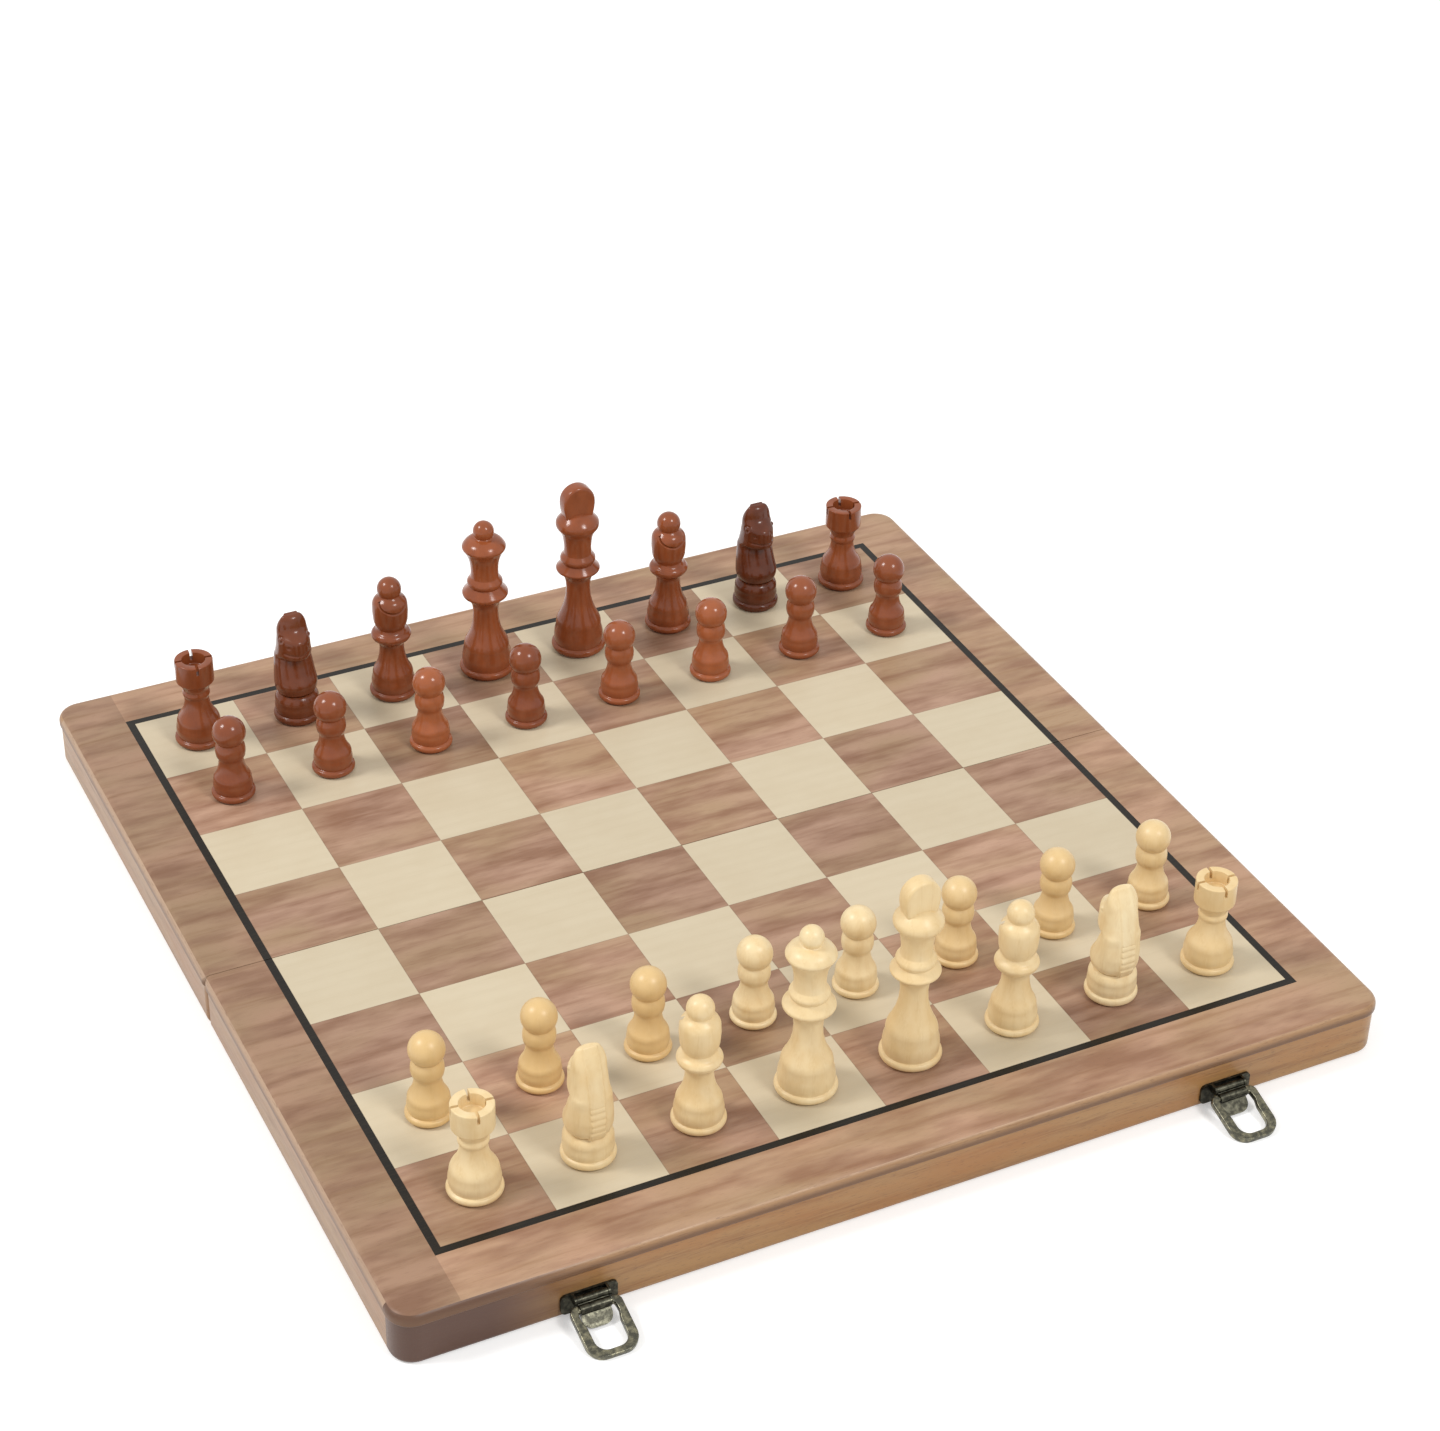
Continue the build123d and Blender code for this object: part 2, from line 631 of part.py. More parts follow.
def knight(x, y, toward):
    """Carved horse's head on a turned foot, with flat cheeks that close in towards the muzzle."""
    profile_plane = Plane(origin=(x, y, HEIGHT), x_dir=(0, toward, 0), z_dir=(toward, 0, 0))
    with BuildPart() as head:
        add(turned(KNIGHT_BLANK, x, y))
        with BuildSketch(profile_plane) as side_view:
            with BuildLine():
                outline(KNIGHT_SIDE[-1][:2], KNIGHT_SIDE)
            make_face()
        extrude(amount=12, both=True, mode=Mode.INTERSECT)
        with BuildSketch(man_plane(x, y)):
            with BuildLine():
                outline((0, COLLAR), KNIGHT_FRONT)
            make_face()
            mirror(about=Plane.YZ)
        extrude(amount=12, both=True, mode=Mode.INTERSECT)
        for side in (-1, 1):
            cheek = Plane(origin=(x + side * CHEEK_HALF, y - toward, HEIGHT + CHEEK_Z),
                          x_dir=(-side * CHEEK_CLOSING, toward, 0),
                          z_dir=(side, toward * CHEEK_CLOSING, CHEEK_LEAN))
            upward = Align.MIN if cheek.y_dir.Z > 0 else Align.MAX
            with BuildSketch(cheek):
                Rectangle(24, 30, align=(Align.CENTER, upward))
            extrude(amount=8, mode=Mode.SUBTRACT)
    with BuildPart() as body:
        add(turned(KNIGHT_FOOT, x, y))
        add(head.part)
        with BuildSketch(Plane(origin=(x, y - toward * MANE, HEIGHT), x_dir=(0, toward, 0),
                               z_dir=(toward, 0, 0))):
            with BuildLine():
                outline(KNIGHT_SIDE[-1][:2], KNIGHT_SIDE)
            make_face()
        extrude(amount=MANE_HALF, both=True)
        with BuildSketch(profile_plane):
            for number in range(LOCKS):
                with Locations((LOCK_OUT + number * 0.1, LOCK_LOW + number * LOCK_PITCH)):
                    Circle(LOCK_R)
        extrude(amount=4, both=True, mode=Mode.SUBTRACT)
    return body.part


def build_man(name, shape, x, y, toward, foot):
    """One man: the wooden body with its pocket, the magnet, and the felt under the foot."""
    wood_low = HEIGHT + FOOT
    with BuildPart() as body:
        add(shape(x, y, toward))
        with BuildSketch(Plane(origin=(x, y, wood_low))):
            Circle(MAGNET_R + POCKET_GAP)
        extrude(amount=MAGNET + POCKET_GAP, mode=Mode.SUBTRACT)
    with BuildPart() as magnet:
        with BuildSketch(Plane(origin=(x, y, wood_low))):
            Circle(MAGNET_R)
        extrude(amount=MAGNET)
    with BuildPart() as felt:
        with BuildSketch(Plane(origin=(x, y, HEIGHT + FELT_GAP))):
            Circle(foot - FELT_MARGIN)
        extrude(amount=FELT - FELT_GAP)
    solids = [body.part.solid(), magnet.part.solid(), felt.part.solid()]
    write(Compound(children=solids), name)


OFFICERS = [("rook", "a"), ("knight", "b"), ("bishop", "c"), ("queen", ""), ("king", ""),
            ("bishop", "f"), ("knight", "g"), ("rook", "h")]
SHAPES = {"king": (king, KING), "queen": (queen, QUEEN), "bishop": (bishop, BISHOP),
          "knight": (knight, KNIGHT_FOOT), "rook": (rook, ROOK), "pawn": (pawn, PAWN)}


def build_men():
    """Both armies in the starting position, each man on the middle of his square."""
    for colour, toward in (("white", 1), ("black", -1)):
        first = -toward * 3.5 * SQUARE
        second = -toward * 2.5 * SQUARE
        for file, (kind, letter) in enumerate(OFFICERS):
            x = (file - 3.5) * SQUARE
            name = f"{colour}_{kind}_{letter}" if letter else f"{colour}_{kind}"
            shape, steps = SHAPES[kind]
            build_man(name, shape, x, first, toward, steps[0][0])
            build_man(f"{colour}_pawn_{'abcdefgh'[file]}", pawn, x, second, toward, PAWN[0][0])


for half_word, half_side in SIDES.items():
    build_panel(half_side, half_word)
    build_squares(half_side, half_word)
    build_rails(half_side, half_word)
    build_lining(half_side, half_word)
    build_hinge_leaves(half_side, half_word)
    build_fasteners(half_side, half_word)
build_hinge_pins()
build_latch_plates()
build_catch_plates()
for latch_word, latch_x in (("left", -LATCH_X), ("right", LATCH_X)):
    build_lever(latch_x, latch_word)
    build_loop(latch_x, latch_word)
build_men()
print("loop slope at rest, degrees:", round(loop_angle(), 2))
print("loop pivot, outwards and up:", [round(v, 3) for v in lever_point(THROW)])
print("catch seat, outwards and up:", [round(v, 3) for v in catch_place()])
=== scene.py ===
# %% [markdown]
# A magnetic folding chess set. The board is two veneered panels on rails, hinged at the fold,
# with draw latches on the near edge. Its men are turned on a lathe, apart from the knights'
# heads, which are carved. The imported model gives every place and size. This script gives the
# finishes, and models again what is seen closely: the men and the latches.

# %% Load the frame
import json
import math

import bmesh
import bpy
from mathutils import Matrix, Quaternion, Vector


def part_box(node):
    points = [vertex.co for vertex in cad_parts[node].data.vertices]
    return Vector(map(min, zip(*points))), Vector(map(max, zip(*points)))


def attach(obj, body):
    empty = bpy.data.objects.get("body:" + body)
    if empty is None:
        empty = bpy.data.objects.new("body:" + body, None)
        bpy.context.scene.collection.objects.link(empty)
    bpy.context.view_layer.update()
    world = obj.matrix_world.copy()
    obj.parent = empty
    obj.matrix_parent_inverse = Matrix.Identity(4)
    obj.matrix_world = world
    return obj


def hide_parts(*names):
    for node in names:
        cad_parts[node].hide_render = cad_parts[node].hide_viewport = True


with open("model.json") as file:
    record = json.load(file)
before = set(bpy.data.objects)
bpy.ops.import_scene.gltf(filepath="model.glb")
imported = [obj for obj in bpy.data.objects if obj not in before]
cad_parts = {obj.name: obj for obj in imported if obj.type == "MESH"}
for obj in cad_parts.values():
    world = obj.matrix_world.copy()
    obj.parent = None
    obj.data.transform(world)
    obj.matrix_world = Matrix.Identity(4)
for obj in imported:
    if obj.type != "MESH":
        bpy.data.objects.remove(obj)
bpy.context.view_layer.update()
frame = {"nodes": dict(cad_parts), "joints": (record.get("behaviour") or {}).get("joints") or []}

print("nodes in the frame:", len(frame["nodes"]))

# %% [markdown]
# Everything is in metres, but a maker thinks of a board in millimetres, so outlines are written
# in millimetres and multiplied by MM. The board's top and the squares come from the frame.

# %% Sizes taken from the frame
MM = 0.001
BOARD_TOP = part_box("front_maple_squares")[1][2]
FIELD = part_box("front_maple_squares")[1][0]
SQUARE = FIELD / 4
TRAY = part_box("front_felt_lining")[1][0]
print("square:", round(SQUARE / MM, 2), "mm, board top:", round(BOARD_TOP / MM, 2), "mm")

# %% [markdown]
# The camera stands where the photographer stood. Its place was solved from the corners of the
# squares, and the lens is about 80 mm on a 36 mm sensor. It looks at a point right of the middle
# of the board, and is rolled by a degree.

# %% Camera
CAMERA_PLACE = Vector((-0.4246, -0.8799, 0.7512))
CAMERA_AIM = Vector((0.0515, 0.0726, 0.0220))
CAMERA_ROLL = math.radians(1.18)
camera = bpy.data.objects.new("camera", bpy.data.cameras.new("camera"))
camera.data.lens = 79.99
camera.data.sensor_width = 36.0
camera.data.clip_start = 0.05
camera.location = CAMERA_PLACE
camera.rotation_mode = "QUATERNION"
aim = (CAMERA_AIM - CAMERA_PLACE).to_track_quat("-Z", "Y")
camera.rotation_quaternion = aim @ Quaternion((0, 0, 1), CAMERA_ROLL)
bpy.context.collection.objects.link(camera)
bpy.context.scene.camera = camera
print("camera is", round((CAMERA_AIM - CAMERA_PLACE).length, 3), "m from its aim")

# %% [markdown]
# Colours are picked as sRGB hex values, as from a paint card, and shaders want them linear.
# A node tree is easier to read as short lines, so one function adds a node with its settings
# and its links.


# %% Colour and node helpers
def colour(code):
    """An sRGB hex value as the linear colour that a node needs."""
    shares = [int(code[i:i + 2], 16) / 255 for i in (0, 2, 4)]
    linear = [s / 12.92 if s <= 0.04045 else ((s + 0.055) / 1.055) ** 2.4 for s in shares]
    return linear + [1.0]


def add(tree, kind, inputs=None, **settings):
    """Adds one node. An input is a value, or a socket to link to."""
    node = tree.nodes.new(kind)
    for key, value in settings.items():
        setattr(node, key, value)
    for key, value in (inputs or {}).items():
        if isinstance(value, bpy.types.NodeSocket):
            tree.links.new(value, node.inputs[key])
        else:
            node.inputs[key].default_value = value
    return node


def new_material(name):
    """An empty node material."""
    material = bpy.data.materials.new(name)
    material.use_nodes = True
    material.node_tree.nodes.clear()
    return material, material.node_tree


print("linear value of mid grey:", [round(v, 3) for v in colour("808080")])

# %% [markdown]
# Wood is drawn by noise that is pulled out along the grain. The width and the length of a streak
# are real millimetres, so the figure has the same scale on every piece. Veneer also has growth
# lines: a wave that a slow noise bends, which gives the long arches of plain-sawn walnut.


# %% Grain
def streaks(tree, place, across, length, low, high, along=0, detail=3.0):
    """Streaks so many millimetres wide and long, as a factor that rises from 0 to 1."""
    scale = [1 / (across * MM)] * 3
    scale[along] = 1 / (length * MM)
    drawn = add(tree, "ShaderNodeVectorMath", {0: place, 1: scale}, operation="MULTIPLY")
    noise = add(tree, "ShaderNodeTexNoise", {"Vector": drawn.outputs[0], "Scale": 1.0,
                                             "Detail": detail, "Roughness": 0.6})
    return add(tree, "ShaderNodeMapRange", {"Value": noise.outputs[0], "From Min": low,
                                            "From Max": high}).outputs[0]


def growth_lines(tree, place, spacing, bend, squeeze, direction="Y"):
    """Growth lines so many millimetres apart, bent by a slow noise."""
    drawn = add(tree, "ShaderNodeVectorMath", {0: place, 1: squeeze}, operation="MULTIPLY")
    period_at_scale_one = math.pi / 10
    return add(tree, "ShaderNodeTexWave",
               {"Vector": drawn.outputs[0], "Scale": period_at_scale_one / (spacing * MM),
                "Distortion": bend, "Detail": 2.0, "Detail Scale": 0.35,
                "Detail Roughness": 0.6},
               bands_direction=direction).outputs[1]


print("streaks and growth lines are ready")

# %% [markdown]
# Each square of the field is its own leaf of veneer. The real maker cuts the leaves from several
# sheets, so their figure doesn't run on from one to the next. The shader finds the leaf by
# dividing the place by the square's side, and moves the pattern by a random step for each leaf.


# %% Leaves of veneer
JOINT_WIDTH = 0.25 * MM


def leaf_pattern(tree, place):
    """A place moved at random for each square, its random value, and the place in squares."""
    squares = add(tree, "ShaderNodeVectorMath", {0: place, 1: [1 / SQUARE, 1 / SQUARE, 0]},
                  operation="MULTIPLY").outputs[0]
    number = add(tree, "ShaderNodeVectorMath", {0: squares}, operation="FLOOR").outputs[0]
    chance = add(tree, "ShaderNodeTexWhiteNoise", {"Vector": number}, noise_dimensions="3D")
    step = add(tree, "ShaderNodeVectorMath", {0: chance.outputs["Color"], 1: [3.0, 2.0, 0.5]},
               operation="MULTIPLY").outputs[0]
    moved = add(tree, "ShaderNodeVectorMath", {0: place, 1: step}, operation="ADD").outputs[0]
    return moved, chance.outputs["Value"], squares


def joint_line(tree, squares):
    """The dark line of the joint round each leaf, as a factor."""
    part = add(tree, "ShaderNodeVectorMath", {0: squares}, operation="FRACTION").outputs[0]
    middle = add(tree, "ShaderNodeVectorMath", {0: part, 1: [0.5, 0.5, 0.0]},
                 operation="SUBTRACT").outputs[0]
    off = add(tree, "ShaderNodeVectorMath", {0: middle}, operation="ABSOLUTE").outputs[0]
    axes = add(tree, "ShaderNodeSeparateXYZ", {0: off})
    far = add(tree, "ShaderNodeMath", {0: axes.outputs[0], 1: axes.outputs[1]},
              operation="MAXIMUM").outputs[0]
    edge = 0.5
    return add(tree, "ShaderNodeMapRange", {"Value": far, "From Min": edge - JOINT_WIDTH / SQUARE,
                                            "From Max": edge}).outputs[0]


print("one leaf is", round(SQUARE / MM, 1), "mm square")

# %% [markdown]
# Walnut veneer, knife-cut and varnished: a soft brown ground that drifts between olive and pink,
# broad smoky patches, a few darker growth lines that wander, and open pores that read as fine
# short dashes. The pores of real walnut are 0.1 to 0.2 mm wide. They are drawn about twice as
# wide, so that they show from a metre away. The strip of border on the left, up to the outer
# edge of the inlay, is drawn darker than the rest. VARNISH is how strongly the satin varnish on
# all the veneers reflects, where 0.5 would be bare plastic.


# %% Walnut veneer
VARNISH = 0.25
INLAY_WIDTH = 3 * MM
STRIP_EDGE = -FIELD - INLAY_WIDTH


def walnut_veneer(name, ground, streak, smoke, leaves):
    """Walnut with its figure along X, as one sheet or as a leaf for each square."""
    material, tree = new_material(name)
    place = add(tree, "ShaderNodeTexCoord").outputs["Object"]
    if leaves:
        place, chance, squares = leaf_pattern(tree, place)
    lines = growth_lines(tree, place, 9.0, 14.0, [0.12, 1.0, 1.0])
    fine = streaks(tree, place, 1.8, 34.0, 0.35, 0.75)
    broad = streaks(tree, place, 9.0, 38.0, 0.42, 0.68)
    drift = streaks(tree, place, 26.0, 50.0, 0.38, 0.64, detail=1.0)
    pores = streaks(tree, place, 0.35, 4.0, 0.60, 0.74, detail=1.0)
    tone = add(tree, "ShaderNodeMix", {0: drift, 6: colour(ground), 7: colour("a98b6d")},
               data_type="RGBA").outputs[2]
    bands = add(tree, "ShaderNodeMath", {0: lines, 1: 3.0}, operation="POWER").outputs[0]
    drawn = add(tree, "ShaderNodeMath", {0: bands, 1: fine}, operation="MULTIPLY").outputs[0]
    mixed = add(tree, "ShaderNodeMath", {0: drawn, 1: 0.6}, operation="MULTIPLY").outputs[0]
    tone = add(tree, "ShaderNodeMix", {0: mixed, 6: tone, 7: colour(streak)},
               data_type="RGBA").outputs[2]
    smoky = add(tree, "ShaderNodeMath", {0: broad, 1: 0.75}, operation="MULTIPLY").outputs[0]
    tone = add(tree, "ShaderNodeMix", {0: smoky, 6: tone, 7: colour(smoke)},
               data_type="RGBA").outputs[2]
    dashes = add(tree, "ShaderNodeMath", {0: pores, 1: 0.2}, operation="MULTIPLY").outputs[0]
    tone = add(tree, "ShaderNodeMix", {0: dashes, 6: tone, 7: colour("63452f")},
               data_type="RGBA").outputs[2]
    if leaves:
        shade = add(tree, "ShaderNodeMapRange", {"Value": chance, "To Min": 0.86,
                                                 "To Max": 1.14}).outputs[0]
    else:
        # The strip of border on the left, up to the outer edge of the inlay, is drawn darker.
        axes = add(tree, "ShaderNodeSeparateXYZ", {0: place})
        shade = add(tree, "ShaderNodeMapRange",
                    {"Value": axes.outputs[0], "From Min": STRIP_EDGE,
                     "From Max": STRIP_EDGE + 0.1 * MM, "To Min": 0.80, "To Max": 1.03}).outputs[0]
    tone = add(tree, "ShaderNodeHueSaturation", {"Value": shade, "Color": tone}).outputs[0]
    if leaves:
        dark = add(tree, "ShaderNodeMath", {0: joint_line(tree, squares), 1: 0.5},
                   operation="MULTIPLY").outputs[0]
        tone = add(tree, "ShaderNodeMix", {0: dark, 6: tone, 7: colour("4a3527")},
                   data_type="RGBA").outputs[2]
    bump = add(tree, "ShaderNodeBump", {"Height": pores, "Strength": 0.10,
                                        "Distance": 0.1 * MM}, invert=True)
    gloss = add(tree, "ShaderNodeMapRange", {"Value": fine, "To Min": 0.36,
                                             "To Max": 0.46}).outputs[0]
    shader = add(tree, "ShaderNodeBsdfPrincipled",
                 {"Base Color": tone, "Roughness": gloss, "IOR": 1.5,
                  "Specular IOR Level": VARNISH, "Normal": bump.outputs[0]})
    add(tree, "ShaderNodeOutputMaterial", {"Surface": shader.outputs[0]})
    print("made", name)
    return material


walnut_leaves = walnut_veneer("walnut_veneer_squares", "b39079", "80583f", "835c45", True)
walnut_border = walnut_veneer("walnut_veneer_border", "b38f75", "85603f", "86604a", False)

# %% [markdown]
# Maple veneer is nearly plain: a creamy ground with faint silky lines along the grain and a slow
# mottle, under the same varnish.


# %% Maple veneer
def maple_veneer(name):
    """Pale veneer, a leaf for each square."""
    material, tree = new_material(name)
    place = add(tree, "ShaderNodeTexCoord").outputs["Object"]
    place, chance, squares = leaf_pattern(tree, place)
    lines = growth_lines(tree, place, 6.0, 6.0, [0.08, 1.0, 1.0])
    silk = streaks(tree, place, 0.5, 14.0, 0.35, 0.72)
    mottle = streaks(tree, place, 14.0, 22.0, 0.38, 0.66)
    drawn = add(tree, "ShaderNodeMath", {0: lines, 1: silk}, operation="MULTIPLY").outputs[0]
    faint = add(tree, "ShaderNodeMath", {0: drawn, 1: 0.45}, operation="MULTIPLY").outputs[0]
    tone = add(tree, "ShaderNodeMix", {0: faint, 6: colour("cdbfa4"), 7: colour("c3b497")},
               data_type="RGBA").outputs[2]
    slow = add(tree, "ShaderNodeMath", {0: mottle, 1: 0.4}, operation="MULTIPLY").outputs[0]
    tone = add(tree, "ShaderNodeMix", {0: slow, 6: tone, 7: colour("c5b598")},
               data_type="RGBA").outputs[2]
    shade = add(tree, "ShaderNodeMapRange", {"Value": chance, "To Min": 0.95,
                                             "To Max": 1.03}).outputs[0]
    tone = add(tree, "ShaderNodeHueSaturation", {"Value": shade, "Color": tone}).outputs[0]
    dark = add(tree, "ShaderNodeMath", {0: joint_line(tree, squares), 1: 0.35},
               operation="MULTIPLY").outputs[0]
    tone = add(tree, "ShaderNodeMix", {0: dark, 6: tone, 7: colour("6f5844")},
               data_type="RGBA").outputs[2]
    gloss = add(tree, "ShaderNodeMapRange", {"Value": silk, "To Min": 0.34,
                                             "To Max": 0.42}).outputs[0]
    shader = add(tree, "ShaderNodeBsdfPrincipled",
                 {"Base Color": tone, "Roughness": gloss, "IOR": 1.5,
                  "Specular IOR Level": VARNISH})
    add(tree, "ShaderNodeOutputMaterial", {"Surface": shader.outputs[0]})
    print("made", name)
    return material


maple_leaves = maple_veneer("maple_veneer_squares")

# %% [markdown]
# The inlay is veneer dyed black right through. It isn't a true black: the varnish lifts it to a
# dark olive brown, and fine lighter lines of the wood still show.


# %% Dyed inlay
def dyed_veneer(name):
    """Black dyed veneer."""
    material, tree = new_material(name)
    place = add(tree, "ShaderNodeTexCoord").outputs["Object"]
    lines = streaks(tree, place, 0.4, 12.0, 0.45, 0.75)
    tone = add(tree, "ShaderNodeMix", {0: lines, 6: colour("15110b"), 7: colour("2a2317")},
               data_type="RGBA").outputs[2]
    shader = add(tree, "ShaderNodeBsdfPrincipled", {"Base Color": tone, "Roughness": 0.42,
                                                    "IOR": 1.5, "Specular IOR Level": VARNISH})
    add(tree, "ShaderNodeOutputMaterial", {"Surface": shader.outputs[0]})
    print("made", name)
    return material


black_inlay = dyed_veneer("dyed_veneer_inlay")

# %% [markdown]
# The rails are solid wood, stained and varnished, warmer than the veneer. Their grain runs along
# each rail, so the shader turns the pattern on the two side rails. These also get a painted
# greyish highlight, standing in for the light that falls on the sides.
# The near edge is drawn darker towards its left end. The panel's edge is the same stain on a
# denser board. Low down, where the panel meets the rails, a dark band is painted: partly stain
# that gathers there, and partly painted shade in the quirk between panel and rails.


# %% Solid rails and panel edge
SIDE_SHEEN_SHARE = 0.25
LEFT_END_DARKENING_STARTS, LEFT_END_DARKENING_FULL = -110 * MM, -160 * MM
STAIN_AND_SHADE_STARTS, STAIN_AND_SHADE_FULL = BOARD_TOP - 1.2 * MM, BOARD_TOP - 3.6 * MM


def stained_wood(name, tones, gloss_low, left_end_darkening, stain_and_shade_band):
    """Solid wood whose grain follows the rail that it is in."""
    ground, streak, warm, side_sheen_tone = tones
    material, tree = new_material(name)
    place = add(tree, "ShaderNodeTexCoord").outputs["Object"]
    axes = add(tree, "ShaderNodeSeparateXYZ", {0: place})
    turned = add(tree, "ShaderNodeCombineXYZ", {0: axes.outputs[1], 1: axes.outputs[0],
                                                2: axes.outputs[2]}).outputs[0]
    side_x = add(tree, "ShaderNodeMath", {0: axes.outputs[0]}, operation="ABSOLUTE").outputs[0]
    side_y = add(tree, "ShaderNodeMath", {0: axes.outputs[1]}, operation="ABSOLUTE").outputs[0]
    beyond = add(tree, "ShaderNodeMath", {0: side_x, 1: TRAY},
                 operation="GREATER_THAN").outputs[0]
    within = add(tree, "ShaderNodeMath", {0: side_y, 1: TRAY}, operation="LESS_THAN").outputs[0]
    on_side = add(tree, "ShaderNodeMath", {0: beyond, 1: within},
                  operation="MULTIPLY").outputs[0]
    place = add(tree, "ShaderNodeMix", {0: on_side, 4: place, 5: turned},
                data_type="VECTOR").outputs[1]
    lines = growth_lines(tree, place, 4.5, 9.0, [0.06, 1.0, 1.0], "DIAGONAL")
    fine = streaks(tree, place, 0.8, 16.0, 0.36, 0.72)
    broad = streaks(tree, place, 12.0, 50.0, 0.42, 0.68)
    pores = streaks(tree, place, 0.35, 3.0, 0.60, 0.72, detail=1.0)
    mixed = add(tree, "ShaderNodeMath", {0: lines, 1: fine}, operation="MULTIPLY").outputs[0]
    tone = add(tree, "ShaderNodeMix", {0: mixed, 6: colour(ground), 7: colour(streak)},
               data_type="RGBA").outputs[2]
    patch = add(tree, "ShaderNodeMath", {0: broad, 1: 0.7}, operation="MULTIPLY").outputs[0]
    tone = add(tree, "ShaderNodeMix", {0: patch, 6: tone, 7: colour(warm)},
               data_type="RGBA").outputs[2]
    # Painted highlight: the sides are mixed towards a pale grey that stands in for the light
    # falling on them.
    painted_side_sheen = add(tree, "ShaderNodeMath", {0: on_side, 1: SIDE_SHEEN_SHARE},
                 operation="MULTIPLY").outputs[0]
    tone = add(tree, "ShaderNodeMix", {0: painted_side_sheen, 6: tone, 7: colour(side_sheen_tone)},
               data_type="RGBA").outputs[2]
    # The near side is drawn darker towards its left end.
    near = add(tree, "ShaderNodeMath", {0: axes.outputs[1], 1: -TRAY},
               operation="LESS_THAN").outputs[0]
    left = add(tree, "ShaderNodeMapRange",
               {"Value": axes.outputs[0], "From Min": LEFT_END_DARKENING_STARTS,
                "From Max": LEFT_END_DARKENING_FULL, "To Max": left_end_darkening},
               interpolation_type="SMOOTHSTEP").outputs[0]
    dark = add(tree, "ShaderNodeMath", {0: near, 1: left}, operation="MULTIPLY").outputs[0]
    tone = add(tree, "ShaderNodeMix", {0: dark, 6: tone, 7: colour("4a2a1c")},
               data_type="RGBA").outputs[2]
    if stain_and_shade_band:
        # Painted shade and stain: a dark band low on the panel's edge where it meets the rails,
        # partly stain gathered there and partly the shade in the quirk between them.
        low = add(tree, "ShaderNodeMapRange",
                  {"Value": axes.outputs[2], "From Min": STAIN_AND_SHADE_STARTS, "From Max": STAIN_AND_SHADE_FULL,
                   "To Max": 0.9}, interpolation_type="SMOOTHSTEP").outputs[0]
        tone = add(tree, "ShaderNodeMix", {0: low, 6: tone, 7: colour("664222")},
                   data_type="RGBA").outputs[2]
    dashes = add(tree, "ShaderNodeMath", {0: pores, 1: 0.4}, operation="MULTIPLY").outputs[0]
    tone = add(tree, "ShaderNodeMix", {0: dashes, 6: tone, 7: colour("5c3f2b")},
               data_type="RGBA").outputs[2]
    bump = add(tree, "ShaderNodeBump", {"Height": pores, "Strength": 0.15,
                                        "Distance": 0.1 * MM}, invert=True)
    gloss = add(tree, "ShaderNodeMapRange", {"Value": fine, "To Min": gloss_low,
                                             "To Max": gloss_low + 0.1}).outputs[0]
    shader = add(tree, "ShaderNodeBsdfPrincipled",
                 {"Base Color": tone, "Roughness": gloss, "IOR": 1.5,
                  "Normal": bump.outputs[0]})
    add(tree, "ShaderNodeOutputMaterial", {"Surface": shader.outputs[0]})
    print("made", name)
    return material


rail_wood = stained_wood("stained_hardwood_rails", ("a57c4d", "875d36", "a06a36", "8f8078"),
                         0.30, 0.95, False)
panel_edge = stained_wood("stained_board_edge", ("ac8762", "8c6742", "99714e", "c9b8ac"),
                          0.36, 0.85, True)

# %% [markdown]
# The pale men are boxwood-like: turned, sanded and given a thin satin varnish. Each comes from
# another billet, so its tint lies somewhere between cream and honey. The shader finds the man by
# his square. The wood is so plain that its growth rings hardly show.


# %% Turned wood
def turned_wood(name, tints, line, line_strength, gloss, ior):
    """Wood turned with its grain upright, its tint drawn at random for each man."""
    material, tree = new_material(name)
    place = add(tree, "ShaderNodeTexCoord").outputs["Object"]
    moved, chance = leaf_pattern(tree, place)[:2]
    rings = growth_lines(tree, moved, 4.2, 5.0, [1.0, 0.6, 0.16], "X")
    fine = streaks(tree, moved, 0.6, 9.0, 0.36, 0.74, along=2)
    cloud = streaks(tree, moved, 7.0, 12.0, 0.35, 0.70, along=2)
    base = add(tree, "ShaderNodeMix", {0: chance, 6: colour(tints[0]), 7: colour(tints[1])},
               data_type="RGBA").outputs[2]
    warm = add(tree, "ShaderNodeMath", {0: cloud, 1: 0.55}, operation="MULTIPLY").outputs[0]
    base = add(tree, "ShaderNodeMix", {0: warm, 6: base, 7: colour(tints[2])},
               data_type="RGBA").outputs[2]
    mixed = add(tree, "ShaderNodeMath", {0: rings, 1: fine}, operation="MULTIPLY").outputs[0]
    faint = add(tree, "ShaderNodeMath", {0: mixed, 1: line_strength},
                operation="MULTIPLY").outputs[0]
    tone = add(tree, "ShaderNodeMix", {0: faint, 6: base, 7: colour(line)},
               data_type="RGBA").outputs[2]
    shader = add(tree, "ShaderNodeBsdfPrincipled",
                 {"Base Color": tone, "Roughness": gloss, "IOR": ior})
    add(tree, "ShaderNodeOutputMaterial", {"Surface": shader.outputs[0]})
    print("made", name)
    return material


pale_wood = turned_wood("boxwood_satin_varnish", ("efdbb0", "dbb981", "dcba80"), "c9a468",
                        0.25, 0.36, 1.45)

# %% [markdown]
# The dark men are the same wood, stained red brown and dipped in clear lacquer, which fills the
# pores and leaves one smooth film with soft highlights. The stain takes differently on each
# billet, so some men are nearly chocolate and some are closer to orange. The officers soaked
# longer in it than the pawns.

